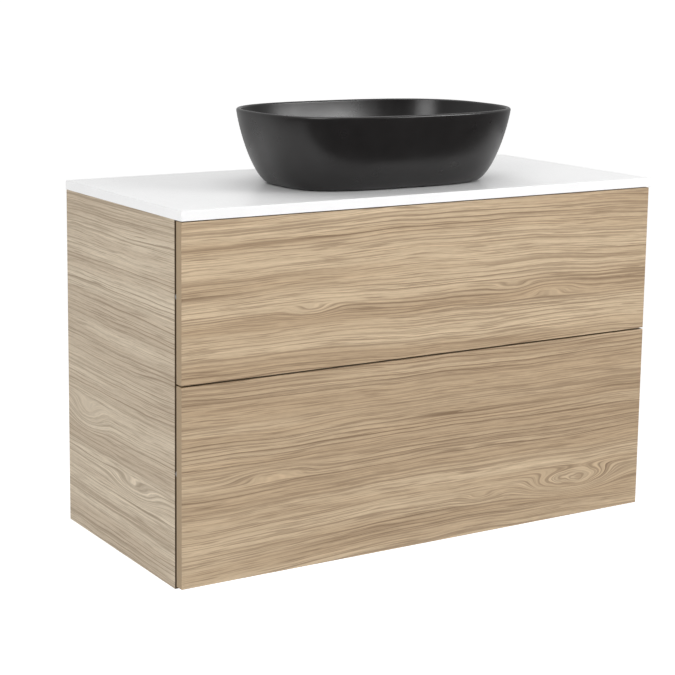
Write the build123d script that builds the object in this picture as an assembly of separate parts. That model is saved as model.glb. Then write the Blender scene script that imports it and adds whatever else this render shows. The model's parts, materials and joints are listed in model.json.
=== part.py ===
"""Wall-hung vanity unit: a two-drawer cabinet, a worktop and a vessel basin with its waste.

Millimetres. The wall is the plane Y = 0, the room is towards -Y, +X is the user's right and
+Z is up. The origin is on the wall, on the cabinet's centre line, level with its underside.
"""
import os
from math import cos, pi, sin

from build123d import *

# ------------------------------------------------------------------ driving dimensions
CABINET_WIDTH = 997.0
CARCASS_HEIGHT = 628.0
WORKTOP_OVERHANG = 1.5  # past each side panel
WORKTOP_DEPTH = 460.0
WORKTOP_THICKNESS = 17.0
BOARD = 16.0  # carcass panels
DRAWER_BOARD = 12.0  # drawer box sides
BOTTOM_BOARD = 6.0  # drawer bottoms, held in grooves

FRONT_THICKNESS = 19.0
FRONT_SETBACK = 2.0  # front face behind the worktop's front edge
FRONT_GAP = 6.0  # front's back face to the carcass's front edges
FRONT_EDGE_RADIUS = 0.8
REVEAL_BOTTOM = 6.0  # carcass underside to the lower front
REVEAL_MIDDLE = 3.0
REVEAL_TOP = 2.0
LOWER_FRONT_HEIGHT = 346.0
PUSH_TRAVEL = 2.5  # how far a front is pushed in to release its latch

SLIDE_LENGTH = 350.0
SLIDE_SPACE = 12.7  # cabinet side to drawer side
SLIDE_HEIGHT = 45.7
STEEL = 1.2  # slide sheet thickness

UPPER_BOX_RISE = 30.0  # drawer box above the lower edge of its front
UPPER_BOX_HEIGHT = 150.0
LOWER_BOX_RISE = 34.0
LOWER_BOX_HEIGHT = 210.0
UPPER_SLIDE_RISE = 55.0  # slide centre above the box's lower edge
LOWER_SLIDE_RISE = 70.0
GROOVE_RISE = 12.0  # drawer bottom above the box's lower edge
GROOVE_DEPTH = 6.0
GROOVE_CLEARANCE = 0.2

BASIN_WIDTH = 510.0
BASIN_DEPTH = 360.0
BASIN_HEIGHT = 135.0
BASIN_FOOT_WIDTH = 396.0
BASIN_FOOT_DEPTH = 234.0
BASIN_WALL = 8.0
BASIN_FLOOR = 18.0  # bowl floor above the foot
BASIN_FROM_WALL = 264.0
BOWL_FLOOR_WIDTH = 235.0  # flat part of the bowl's floor
BOWL_FLOOR_DEPTH = 140.0
RIM_ROUNDNESS = 2.75  # superellipse exponents of the outlines
FOOT_ROUNDNESS = 3.1
SEAL_THICKNESS = 1.0

NOTCH_WIDTH = 170.0  # clear width of the upper drawer's recess round the trap
NOTCH_CLEARANCE = 48.0  # recess front wall ahead of the waste's centre line

WASTE_RADIUS = 20.6  # threaded tail
WASTE_LENGTH = 108.0
FLANGE_RADIUS = 32.0
PIPE_RADIUS = 16.0
PIPE_WALL = 1.6
TRAP_OUTLET_HEIGHT = 472.0
PIPE_INTO_WALL = 30.0
PIPE_THREAD = 5.0  # threaded wall round a pipe
NUT_WALL = 5.0
FIT = 0.1  # radial clearance of pieces that stay put
RUNNING = 0.3  # clearance of pieces that move

# ------------------------------------------------------------------ derived places
half_cabinet = CABINET_WIDTH / 2
half_worktop = half_cabinet + WORKTOP_OVERHANG
inner = half_cabinet - BOARD  # inner face of a side panel
front_face = -(WORKTOP_DEPTH - FRONT_SETBACK)
front_back = front_face + FRONT_THICKNESS
carcass_front = front_back + FRONT_GAP
worktop_top = CARCASS_HEIGHT + WORKTOP_THICKNESS
lower_front_bottom = REVEAL_BOTTOM
upper_front_bottom = lower_front_bottom + LOWER_FRONT_HEIGHT + REVEAL_MIDDLE
upper_front_height = CARCASS_HEIGHT - REVEAL_TOP - upper_front_bottom
upper_box_bottom = upper_front_bottom + UPPER_BOX_RISE
lower_box_bottom = lower_front_bottom + LOWER_BOX_RISE
foot_level = worktop_top + SEAL_THICKNESS
rim_level = foot_level + BASIN_HEIGHT
floor_level = foot_level + BASIN_FLOOR
waste_y = -BASIN_FROM_WALL
box_half = inner - SLIDE_SPACE  # outer face of a drawer side
box_inner = box_half - DRAWER_BOARD
box_back = front_back + SLIDE_LENGTH
slide_start = carcass_front + 2.0
slide_end = slide_start + SLIDE_LENGTH
thread_radius = PIPE_RADIUS + PIPE_THREAD
nut_radius = thread_radius + NUT_WALL


# ------------------------------------------------------------------ helpers
def block(x0, x1, y0, y1, z0, z1):
    """A box between two corners."""
    return Pos(x0, y0, z0) * Box(x1 - x0, y1 - y0, z1 - z0, align=(Align.MIN,) * 3)


def post(x, y, z0, z1, radius):
    """A cylinder standing along Z."""
    height = z1 - z0
    return Pos(x, y, z0) * Cylinder(radius, height, align=(Align.CENTER, Align.CENTER, Align.MIN))


def rod_x(x0, x1, y, z, radius):
    """A cylinder lying along X."""
    base = Cylinder(radius, x1 - x0, align=(Align.CENTER, Align.CENTER, Align.MIN))
    return Pos(x0, y, z) * Rot(0, 90, 0) * base


def rod_y(x, y0, y1, z, radius):
    """A cylinder lying along Y."""
    base = Cylinder(radius, y1 - y0, align=(Align.CENTER, Align.CENTER, Align.MIN))
    return Pos(x, y0, z) * Rot(-90, 0, 0) * base


def mirrored(shape):
    """The same piece on the user's left."""
    return mirror(shape, about=Plane.YZ)


def pair(shape):
    """A piece made for the user's right, with its left-hand twin."""
    return [shape, mirrored(shape)]


def save(name, shapes):
    """Writes one node, which may be a group of separate solids."""
    shapes = shapes if isinstance(shapes, list) else [shapes]
    solids = [solid for shape in shapes for solid in shape.solids()]
    export_step(solids[0] if len(solids) == 1 else Compound(solids), f"parts/{name}.step")


# ------------------------------------------------------------------ carcass fixings
# Each carcass board meets a side panel with a wooden dowel and a cam fastener.
DOWEL_RADIUS = 4.0
DOWEL_IN_SIDE = 11.0
DOWEL_IN_BOARD = 19.0
CAM_RADIUS = 7.5
CAM_DEPTH = 12.5
CAM_FROM_END = 24.0
CAM_BOLT_RADIUS = 3.0

TOP_RAIL_WIDTH = 80.0
REAR_RECESS = 20.0  # room between the upper back rail and the wall for the hangers
BACK_RAIL_HEIGHT = 112.0
LOWER_RAIL_HEIGHT = 80.0

top_rail_z = CARCASS_HEIGHT - BOARD
front_rail_y = (carcass_front, carcass_front + TOP_RAIL_WIDTH)
rear_rail_y = (-REAR_RECESS - TOP_RAIL_WIDTH, -REAR_RECESS)
back_rail_y = (-REAR_RECESS - BOARD, -REAR_RECESS)
back_rail_z = (top_rail_z - BACK_RAIL_HEIGHT, top_rail_z)
lower_rail_z = (BOARD, BOARD + LOWER_RAIL_HEIGHT)
carcass_depth = -carcass_front

bottom_dowels = [(-carcass_depth * share, BOARD / 2) for share in (0.1, 0.5, 0.9)]
bottom_cams = [(-carcass_depth * share, BOARD / 2) for share in (0.28, 0.72)]
front_rail_dowels = [(front_rail_y[0] + 20, top_rail_z + BOARD / 2)]
front_rail_cams = [(front_rail_y[1] - 20, top_rail_z + BOARD / 2)]
rear_rail_dowels = [(rear_rail_y[0] + 20, top_rail_z + BOARD / 2)]
rear_rail_cams = [(rear_rail_y[1] - 20, top_rail_z + BOARD / 2)]
back_rail_dowels = [(sum(back_rail_y) / 2, back_rail_z[0] + 20)]
back_rail_cams = [(sum(back_rail_y) / 2, back_rail_z[0] + 45)]
lower_rail_dowels = [(-BOARD / 2, lower_rail_z[0] + 20)]
lower_rail_cams = [(-BOARD / 2, lower_rail_z[0] + 50)]
all_dowels = bottom_dowels + front_rail_dowels + rear_rail_dowels
all_dowels += back_rail_dowels + lower_rail_dowels
all_cams = bottom_cams + front_rail_cams + rear_rail_cams + back_rail_cams + lower_rail_cams


def dowel(y, z, clearance=0.0):
    """A dowel through the joint plane between a board's end and the right side panel."""
    return rod_x(inner - DOWEL_IN_BOARD - clearance, inner + DOWEL_IN_SIDE + clearance, y, z,
                 DOWEL_RADIUS + clearance)


def cam_bolt(y, z, clearance=0.0):
    """The bolt of a cam fastener, from the side panel to the cam's centre."""
    return rod_x(inner - CAM_FROM_END, inner + DOWEL_IN_SIDE + clearance, y, z,
                 CAM_BOLT_RADIUS + clearance)


def cam_disc(y, z, into, clearance=0.0):
    """The round cam, let into a board's face. 'into' says which way its hole is cut."""
    x = inner - CAM_FROM_END
    radius = CAM_RADIUS + clearance
    half = BOARD / 2
    if into == "down":  # from the board's top face
        return post(x, y, z + half - CAM_DEPTH - clearance, z + half, radius)
    if into == "up":  # from the board's underside
        return post(x, y, z - half, z - half + CAM_DEPTH + clearance, radius)
    return rod_y(x, y - half, y - half + CAM_DEPTH + clearance, z, radius)  # from the front


cam_ways = ["down"] * len(bottom_cams) + ["up"] * 2 + ["back"] * 2


def fitted(board, dowels, cams, into):
    """A board with the holes for its dowels and cams at both ends."""
    for y, z in dowels:
        for hole in pair(dowel(y, z, FIT)):
            board -= hole
    for y, z in cams:
        for hole in pair(cam_bolt(y, z, FIT)) + pair(cam_disc(y, z, into, FIT)):
            board -= hole
    return board


# ------------------------------------------------------------------ latches and buffers
LATCH_RADIUS = 5.0
LATCH_LENGTH = 50.0
LATCH_FLANGE_RADIUS = 7.0
LATCH_FLANGE = 1.0
PLUNGER_RADIUS = 3.5
PLUNGER_LENGTH = 40.0
PLUNGER_PRESS = 3.0
BUFFER_RADIUS = 5.0
latch_x = half_cabinet - BOARD / 2
pushed_back = front_back + PUSH_TRAVEL  # where a pushed front's back face stands
plunger_tip = pushed_back + FIT
latch_heights = {"upper": upper_box_bottom + 115, "lower": lower_box_bottom + 160}
buffer_heights = [30.0, upper_front_bottom - 25, upper_front_bottom + 25, CARCASS_HEIGHT - 38]


def latch_housing(z):
    """A drill-in latch cartridge in the side panel's front edge."""
    shell = rod_y(latch_x, carcass_front, carcass_front + LATCH_LENGTH, z, LATCH_RADIUS)
    shell += rod_y(latch_x, carcass_front - LATCH_FLANGE, carcass_front, z, LATCH_FLANGE_RADIUS)
    well = PLUNGER_LENGTH + PLUNGER_PRESS + 1.5
    return shell - rod_y(latch_x, plunger_tip, plunger_tip + well, z, PLUNGER_RADIUS + RUNNING)


def latch_plunger(z):
    """The plunger, with a domed soft tip that meets the front."""
    body = rod_y(latch_x, plunger_tip, plunger_tip + PLUNGER_LENGTH, z, PLUNGER_RADIUS)
    return fillet(body.faces().sort_by(Axis.Y)[0].edges(), 1.2)


def buffer(z):
    """A soft dome that stops a pushed front short of the carcass."""
    dome = rod_y(latch_x, plunger_tip, carcass_front, z, BUFFER_RADIUS)
    return fillet(dome.faces().sort_by(Axis.Y)[0].edges(), 1.5)


# ------------------------------------------------------------------ drawer slides
CABINET_SCREW_RADIUS = 2.9
CABINET_SCREW_GRIP = 11.0
DRAWER_SCREW_RADIUS = 1.75
CABINET_SCREWS = (32.0, 172.0, 312.0)  # along the slide from its front end
DRAWER_SCREWS = (46.0, 290.0)
MIDDLE_WEB = 3.0  # intermediate member's web, from the cabinet side
CHANNEL_REACH = 10.0
BALL_RADIUS = 2.15
CAGE_LENGTH = 150.0
BALLS_PER_ROW = 7
half_slide = SLIDE_HEIGHT / 2
middle_half = half_slide - STEEL - 2 * BALL_RADIUS - 0.15
drawer_half = middle_half - STEEL - 2 * BALL_RADIUS - 0.15
slide_centre = {
    "upper": upper_box_bottom + UPPER_SLIDE_RISE,
    "lower": lower_box_bottom + LOWER_SLIDE_RISE,
}


def slide_block(u0, u1, v0, v1, centre, start=None, end=None):
    """A bar of a right-hand slide: u from the cabinet side inwards, v from the slide's centre."""
    start = slide_start if start is None else start
    end = slide_end if end is None else end
    return block(inner - u1, inner - u0, start, end, centre + v0, centre + v1)


def channel(web_u, u0, u1, half, centre):
    """A C-shaped member: a web and two flanges with turned-in lips."""
    shape = slide_block(web_u, web_u + STEEL, -half, half, centre)
    for side in (1, -1):
        edges = sorted((side * half, side * (half - STEEL)))
        shape += slide_block(u0, u1, edges[0], edges[1], centre)
    return shape


def lips(shape, half, centre):
    """Turned-in lips that keep the balls on their track."""
    for side in (1, -1):
        edges = sorted((side * (half - STEEL), side * (half - STEEL - 1.0)))
        shape += slide_block(CHANNEL_REACH - 0.8, CHANNEL_REACH, edges[0], edges[1], centre)
    return shape


def cabinet_member(centre):
    shape = lips(channel(0, 0, CHANNEL_REACH, half_slide, centre), half_slide, centre)
    for along in CABINET_SCREWS:
        shape -= rod_x(inner - STEEL, inner, slide_start + along, centre, CABINET_SCREW_RADIUS + FIT)
    return shape


def middle_member(centre):
    shape = channel(MIDDLE_WEB, MIDDLE_WEB, CHANNEL_REACH, middle_half, centre)
    return lips(shape, middle_half, centre)


def drawer_member(centre):
    web = SLIDE_SPACE - STEEL
    shape = channel(web, 5.2, SLIDE_SPACE, drawer_half, centre)
    for along in DRAWER_SCREWS:
        shape -= rod_x(inner - SLIDE_SPACE, inner - web, slide_start + along, centre,
                       DRAWER_SCREW_RADIUS + FIT)
    return shape


def ball_cages(outer_half, reach, centre):
    """The upper and lower ball retainers between two nested members, with their balls."""
    start = slide_start + SLIDE_LENGTH / 2 - CAGE_LENGTH * 0.5
    track = outer_half - STEEL - BALL_RADIUS - 0.075
    cages = []
    for side in (1, -1):
        row = side * track
        cage = slide_block(reach - 2.0, reach + 2.0, row - 0.4, row + 0.4, centre,
                           start, start + CAGE_LENGTH)
        for i in range(BALLS_PER_ROW):
            along = start + CAGE_LENGTH * (i + 0.5) / BALLS_PER_ROW
            cage += Pos(inner - reach, along, centre + row) * Sphere(BALL_RADIUS)
        cages.append(cage)
    return cages


def cabinet_screw(centre, along):
    """A pan-head screw from the slide into the side panel."""
    y = slide_start + along
    head = rod_x(inner - STEEL - 1.3, inner - STEEL, y, centre, 4.2)
    return head + rod_x(inner - STEEL, inner + CABINET_SCREW_GRIP, y, centre, CABINET_SCREW_RADIUS)


def drawer_screw(centre, along):
    """A pan-head screw from the slide into the drawer side."""
    y = slide_start + along
    face = inner - SLIDE_SPACE
    head = rod_x(face + STEEL, face + STEEL + 1.5, y, centre, 3.4)
    return head + rod_x(face - 9.0, face + STEEL, y, centre, DRAWER_SCREW_RADIUS)


# ------------------------------------------------------------------ carcass panels
HANGER_DEPTH = 60.0
HANGER_BODY = 14.0
HANGER_PLATE = 2.0
HANGER_WALL = 1.5
HOOK_THICKNESS = 4.0
ADJUSTER_RADIUS = 2.5
WALL_PLATE = 2.5
WALL_PLATE_WIDTH = 60.0
WALL_HOLE_RADIUS = 3.2
WALL_HOLE_SPACING = 30.0
LOWER_HOLE_RADIUS = 3.0
LOWER_HOLE_SPACING = 600.0
hanger_top = top_rail_z - 1.0
hanger_bottom = hanger_top - 63.0
hook_seat = hanger_top - 23.5  # level at which the hook rests on the wall plate's lip
hanger_back = back_rail_y[0] - 2.0
hanger_front = hanger_back - HANGER_DEPTH
hanger_screw_levels = (hanger_bottom + 6.0, hanger_top - 5.5)
hook_x = (inner - 10.5, inner - 10.5 + HOOK_THICKNESS)
adjuster_level = hook_seat + 5.0
hook_notch = block(inner - 16.5, inner, back_rail_y[0], back_rail_y[1],
                   hook_seat - 11.5, hook_seat + 18.5)


def side_panel():
    panel = block(inner, half_cabinet, carcass_front, 0, 0, CARCASS_HEIGHT)
    for y, z in all_dowels:
        panel -= dowel(y, z, FIT)
    for y, z in all_cams:
        panel -= cam_bolt(y, z, FIT)
    latch_end = carcass_front + LATCH_LENGTH + 1
    for z in latch_heights.values():
        panel -= rod_y(latch_x, carcass_front, latch_end, z, LATCH_RADIUS + FIT)
    places = [(slide_start + a, c) for c in slide_centre.values() for a in CABINET_SCREWS]
    places += [((hanger_front + hanger_back) / 2, z) for z in hanger_screw_levels]
    for y, z in places:
        panel -= rod_x(inner, inner + CABINET_SCREW_GRIP + 0.5, y, z, CABINET_SCREW_RADIUS + FIT)
    return panel


WORKTOP_SCREW_RADIUS = 2.0
WORKTOP_SCREW_GRIP = 10.0
WORKTOP_SCREW_FROM_SIDE = 85.0
worktop_screw_places = [
    (x, sum(rail) / 2)
    for rail in (front_rail_y, rear_rail_y)
    for x in (WORKTOP_SCREW_FROM_SIDE - inner, 0.0, inner - WORKTOP_SCREW_FROM_SIDE)
]


def worktop_screw_hole(x, y):
    top = CARCASS_HEIGHT + WORKTOP_SCREW_GRIP + 1
    return post(x, y, top_rail_z, top, WORKTOP_SCREW_RADIUS + FIT)


def worktop_screw(x, y):
    """A screw up through a top rail into the worktop."""
    head = post(x, y, top_rail_z - 2.5, top_rail_z, 4.0)
    return head + post(x, y, top_rail_z, CARCASS_HEIGHT + WORKTOP_SCREW_GRIP, WORKTOP_SCREW_RADIUS)


def top_rail(y_span, dowels, cams):
    rail = block(-inner, inner, y_span[0], y_span[1], top_rail_z, CARCASS_HEIGHT)
    rail = fitted(rail, dowels, cams, "up")
    for x, y in worktop_screw_places:
        if y_span[0] < y < y_span[1]:
            rail -= worktop_screw_hole(x, y)
    return rail


def upper_back_rail():
    rail = block(-inner, inner, back_rail_y[0], back_rail_y[1], back_rail_z[0], back_rail_z[1])
    rail = fitted(rail, back_rail_dowels, back_rail_cams, "back")
    return rail - hook_notch - mirrored(hook_notch)


def lower_back_rail():
    rail = block(-inner, inner, -BOARD, 0, lower_rail_z[0], lower_rail_z[1])
    rail = fitted(rail, lower_rail_dowels, lower_rail_cams, "back")
    level = sum(lower_rail_z) / 2
    for x in (-LOWER_HOLE_SPACING / 2, LOWER_HOLE_SPACING / 2):
        rail -= rod_y(x, -BOARD, 0, level, LOWER_HOLE_RADIUS)
    return rail


def make_carcass():
    right = side_panel()
    save("side_panel_right", right)
    save("side_panel_left", mirrored(right))
    floor = block(-inner, inner, carcass_front, 0, 0, BOARD)
    save("bottom_panel", fitted(floor, bottom_dowels, bottom_cams, "down"))
    front = top_rail(front_rail_y, front_rail_dowels, front_rail_cams)
    rear = top_rail(rear_rail_y, rear_rail_dowels, rear_rail_cams)
    save("top_rails", [front, rear])
    save("upper_back_rail", upper_back_rail())
    save("lower_back_rail", lower_back_rail())
    save("carcass_dowels", [d for y, z in all_dowels for d in pair(dowel(y, z))])
    fasteners = []
    for (y, z), into in zip(all_cams, cam_ways):
        fasteners += pair(cam_bolt(y, z))
        fasteners += pair(cam_disc(y, z, into) - cam_bolt(y, z, FIT))
    save("cam_fasteners", fasteners)
    save("latch_housings", [h for z in latch_heights.values() for h in pair(latch_housing(z))])
    save("front_buffers", [b for z in buffer_heights for b in pair(buffer(z))])
    for level, z in latch_heights.items():
        plunger = latch_plunger(z)
        save(f"{level}_plunger_right", plunger)
        save(f"{level}_plunger_left", mirrored(plunger))


# ------------------------------------------------------------------ wall hangers
def hanger_housing():
    """A shallow shell on a plate, screwed to the side panel, open at the back for the hook."""
    plate = block(inner - HANGER_PLATE, inner, hanger_front, hanger_back, hanger_bottom, hanger_top)
    x0, x1 = inner - HANGER_PLATE - HANGER_BODY, inner - HANGER_PLATE
    z0, z1 = hanger_bottom + 12.0, hanger_top - 11.0
    shell = block(x0, x1, hanger_front + 2, hanger_back, z0, z1)
    shell -= block(x0 + HANGER_WALL, x1, hanger_front + 2 + HANGER_WALL, hanger_back,
                   z0 + HANGER_WALL, z1 - HANGER_WALL)
    shell -= rod_y(sum(hook_x) / 2, hanger_front, hanger_front + 6, adjuster_level, ADJUSTER_RADIUS + FIT)
    housing = plate + shell
    for z in hanger_screw_levels:
        housing -= rod_x(inner - HANGER_PLATE, inner, (hanger_front + hanger_back) / 2, z,
                         CABINET_SCREW_RADIUS + FIT)
    return housing


def hanger_hook():
    """The steel hook: a tail in the housing, an arm through the rail, a lip behind the wall plate."""
    x0, x1 = hook_x
    tail_front = hanger_front + 12.0
    arm = block(x0, x1, tail_front, -6.0, hook_seat, hook_seat + 10.0)
    tail = block(x0, x1, tail_front, tail_front + 8.0, hook_seat - 23.0, hook_seat + 10.0)
    lip = block(x0, x1, -9.5, -6.0, hook_seat - 9.0, hook_seat + 10.0)
    return arm + tail + lip


def hanger_adjuster():
    """The height screw, its slotted head towards the room."""
    x = sum(hook_x) / 2
    front = hanger_front + 2.0 - RUNNING
    screw = rod_y(x, front - 3.0, front, adjuster_level, 4.0)
    screw += rod_y(x, front, hanger_front + 11.0, adjuster_level, ADJUSTER_RADIUS)
    slot = (adjuster_level - 3, adjuster_level + 3)
    return screw - block(x - 0.6, x + 0.6, front - 3.0, front - 1.6, slot[0], slot[1])


def hanger_screw(z):
    y = (hanger_front + hanger_back) / 2
    head = rod_x(inner - HANGER_PLATE - 1.6, inner - HANGER_PLATE, y, z, 4.2)
    return head + rod_x(inner - HANGER_PLATE, inner + CABINET_SCREW_GRIP, y, z, CABINET_SCREW_RADIUS)


def wall_plate():
    """The plate on the wall, joggled forwards to an upstanding lip for the hook."""
    x0, x1 = inner - 2.5 - WALL_PLATE_WIDTH, inner - 2.5
    lip_back = -11.5
    shelf = hook_seat - 12.5
    plate = block(x0, x1, -WALL_PLATE, 0, shelf - 35.0, shelf + WALL_PLATE)
    plate += block(x0, x1, lip_back - WALL_PLATE, 0, shelf, shelf + WALL_PLATE)
    plate += block(x0, x1, lip_back - WALL_PLATE, lip_back, shelf, hook_seat)
    for offset in (-WALL_HOLE_SPACING / 2, WALL_HOLE_SPACING / 2):
        plate -= rod_y((x0 + x1) / 2 + offset, -WALL_PLATE, 0, shelf - 20.0, WALL_HOLE_RADIUS)
    return plate


def make_hangers():
    save("hanger_housings", pair(hanger_housing()))
    save("hanger_hooks", pair(hanger_hook()))
    save("hanger_adjuster_right", hanger_adjuster())
    save("hanger_adjuster_left", mirrored(hanger_adjuster()))
    save("wall_plates", pair(wall_plate()))
    screws = [s for z in hanger_screw_levels for s in pair(hanger_screw(z))]
    for centre in slide_centre.values():
        for along in CABINET_SCREWS:
            screws += pair(cabinet_screw(centre, along))
    save("cabinet_screws", screws)


# ------------------------------------------------------------------ drawers
SCREW_HEAD = 2.0
FRONT_SCREW_RADIUS = 2.0
FRONT_SCREW_GRIP = 12.0
FRONT_SCREW_FROM_SIDE = 137.0
FRONT_SCREW_RISE = 45.0
FRONT_SCREW_DROP = 30.0


def front_panel(bottom, height):
    panel = block(-half_cabinet, half_cabinet, front_face, front_back, bottom, bottom + height)
    return fillet(panel.faces().sort_by(Axis.Y)[0].edges(), FRONT_EDGE_RADIUS)


def front_screw_places(bottom, height):
    reach = box_inner - FRONT_SCREW_FROM_SIDE
    levels = (bottom + FRONT_SCREW_RISE, bottom + height - FRONT_SCREW_DROP)
    return [(x, z) for x in (-reach, reach) for z in levels]


def front_screw(x, z):
    """A screw from inside the box through its front board into the drawer front."""
    inside = front_back + DRAWER_BOARD
    head = rod_y(x, inside, inside + SCREW_HEAD, z, 4.0)
    return head + rod_y(x, front_back - FRONT_SCREW_GRIP, inside, z, FRONT_SCREW_RADIUS)


def front_screw_hole(x, z):
    start = front_back - FRONT_SCREW_GRIP - 1
    return rod_y(x, start, front_back + DRAWER_BOARD, z, FRONT_SCREW_RADIUS + FIT)


class DrawerBox:
    """The boards of one drawer box, grooved for its bottom."""

    def __init__(self, level, bottom, height, notched):
        self.level, self.z0, self.z1, self.notched = level, bottom, bottom + height, notched
        self.groove = (bottom + GROOVE_RISE, bottom + GROOVE_RISE + BOTTOM_BOARD)
        self.screws = front_screw_places(bottom, height)
        self.notch_half = NOTCH_WIDTH / 2
        self.notch_front = waste_y - NOTCH_CLEARANCE

    def grooved(self, board):
        """Cuts the groove for the bottom out of a board."""
        return board - self.bottom_sheet(GROOVE_CLEARANCE)

    def bottom_sheet(self, clearance=0.0):
        """The bottom, let into every board round it; with a recess it is U-shaped."""
        reach = box_inner + GROOVE_DEPTH + clearance
        y0 = front_back + DRAWER_BOARD - GROOVE_DEPTH - clearance
        y1 = box_back - DRAWER_BOARD + GROOVE_DEPTH + clearance
        z0, z1 = self.groove[0] - clearance, self.groove[1] + clearance
        sheet = block(-reach, reach, y0, y1, z0, z1)
        if self.notched:
            cut = self.notch_half + DRAWER_BOARD - GROOVE_DEPTH - clearance
            front = self.notch_front - DRAWER_BOARD + GROOVE_DEPTH + clearance
            sheet -= block(-cut, cut, front, y1, z0, z1)
        return sheet

    def side(self):
        board = self.grooved(block(box_inner, box_half, front_back, box_back, self.z0, self.z1))
        for along in DRAWER_SCREWS:
            board -= rod_x(box_half - 9.5, box_half, slide_start + along, slide_centre[self.level],
                           DRAWER_SCREW_RADIUS + FIT)
        return board

    def front_board(self):
        board = block(-box_inner, box_inner, front_back, front_back + DRAWER_BOARD, self.z0, self.z1)
        board = self.grooved(board)
        for x, z in self.screws:
            board -= front_screw_hole(x, z)
        return board

    def backs(self):
        y0 = box_back - DRAWER_BOARD
        if not self.notched:
            return [self.grooved(block(-box_inner, box_inner, y0, box_back, self.z0, self.z1))]
        start = self.notch_half + DRAWER_BOARD
        return pair(self.grooved(block(start, box_inner, y0, box_back, self.z0, self.z1)))

    def notch_side(self):
        x0, x1 = self.notch_half, self.notch_half + DRAWER_BOARD
        return self.grooved(block(x0, x1, self.notch_front, box_back, self.z0, self.z1))

    def notch_end(self):
        reach = self.notch_half + DRAWER_BOARD
        y0 = self.notch_front - DRAWER_BOARD
        return self.grooved(block(-reach, reach, y0, self.notch_front, self.z0, self.z1))

    def write(self, front_bottom, front_height):
        level = self.level
        panel = front_panel(front_bottom, front_height)
        for x, z in self.screws:
            panel -= front_screw_hole(x, z)
        save(f"{level}_drawer_front", panel)
        right = self.side()
        save(f"{level}_box_side_right", right)
        save(f"{level}_box_side_left", mirrored(right))
        save(f"{level}_box_front", self.front_board())
        save(f"{level}_box_bottom", self.bottom_sheet())
        save(f"{level}_box_back", self.backs())
        if self.notched:
            save(f"{level}_recess_sides", pair(self.notch_side()))
            save(f"{level}_recess_front", self.notch_end())
        centre = slide_centre[level]
        screws = [front_screw(x, z) for x, z in self.screws]
        for along in DRAWER_SCREWS:
            screws += pair(drawer_screw(centre, along))
        save(f"{level}_drawer_screws", screws)
        save(f"{level}_slide_cabinet_members", pair(cabinet_member(centre)))
        save(f"{level}_slide_middle_members", pair(middle_member(centre)))
        save(f"{level}_slide_drawer_members", pair(drawer_member(centre)))
        outer = ball_cages(half_slide, 6.5, centre)
        save(f"{level}_outer_ball_cages", [c for cage in outer for c in pair(cage)])
        inner_cages = ball_cages(middle_half, 6.8, centre)
        save(f"{level}_inner_ball_cages", [c for cage in inner_cages for c in pair(cage)])


# ------------------------------------------------------------------ worktop and basin
WORKTOP_EDGE = 1.2
WORKTOP_HOLE_CLEARANCE = 3.4  # round the waste's tail
DRAIN_HOLE_CLEARANCE = 1.9
SEAL_WIDTH = 8.0
SEAL_INSET = 8.0
FOOT_RECESS = 6.0
FOOT_RING = 24.0
DRAIN_SEAT_DEPTH = 4.0
WALL_FLARE = (1.2, 1.6)  # exponents of the outer wall's curve from foot to rim
BOWL_CURVE = 3.4
OUTLINE_POINTS = 32
worktop_hole_radius = WASTE_RADIUS + WORKTOP_HOLE_CLEARANCE
drain_hole_radius = WASTE_RADIUS + DRAIN_HOLE_CLEARANCE


def outline(half_x, half_y, roundness, z):
    """A superellipse on the basin's centre line, as a face at height z."""
    points = []
    for i in range(OUTLINE_POINTS):
        turn = 2 * pi * i / OUTLINE_POINTS
        c, s = cos(turn), sin(turn)
        x = half_x * abs(c) ** (2 / roundness) * (1 if c >= 0 else -1)
        y = half_y * abs(s) ** (2 / roundness) * (1 if s >= 0 else -1)
        points.append((x, waste_y + y, z))
    return make_face(Spline(*points, periodic=True))


def outer_section(share):
    """The outside of the basin at a share of its height, 0 at the foot and 1 at the rim."""
    grow = (1 - (1 - share) ** WALL_FLARE[0]) ** (1 / WALL_FLARE[1])
    half_x = (BASIN_FOOT_WIDTH + (BASIN_WIDTH - BASIN_FOOT_WIDTH) * grow) / 2
    half_y = (BASIN_FOOT_DEPTH + (BASIN_DEPTH - BASIN_FOOT_DEPTH) * grow) / 2
    roundness = FOOT_ROUNDNESS + (RIM_ROUNDNESS - FOOT_ROUNDNESS) * share
    return outline(half_x, half_y, roundness, foot_level + BASIN_HEIGHT * share)


def bowl_section(turn):
    """The inside of the bowl, from its floor at 0 to the rim at a quarter turn."""
    across = sin(turn) ** (2 / BOWL_CURVE)
    down = cos(turn) ** (2 / BOWL_CURVE)
    level = rim_level - (BASIN_HEIGHT - BASIN_FLOOR) * down
    share = (level - foot_level) / BASIN_HEIGHT
    grow = (1 - (1 - share) ** WALL_FLARE[0]) ** (1 / WALL_FLARE[1])
    wall_x = (BASIN_FOOT_WIDTH + (BASIN_WIDTH - BASIN_FOOT_WIDTH) * grow) / 2 - BASIN_WALL
    wall_y = (BASIN_FOOT_DEPTH + (BASIN_DEPTH - BASIN_FOOT_DEPTH) * grow) / 2 - BASIN_WALL
    floor_x, floor_y = BOWL_FLOOR_WIDTH / 2, BOWL_FLOOR_DEPTH / 2
    return outline(floor_x + (wall_x - floor_x) * across, floor_y + (wall_y - floor_y) * across,
                   RIM_ROUNDNESS, level)


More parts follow.
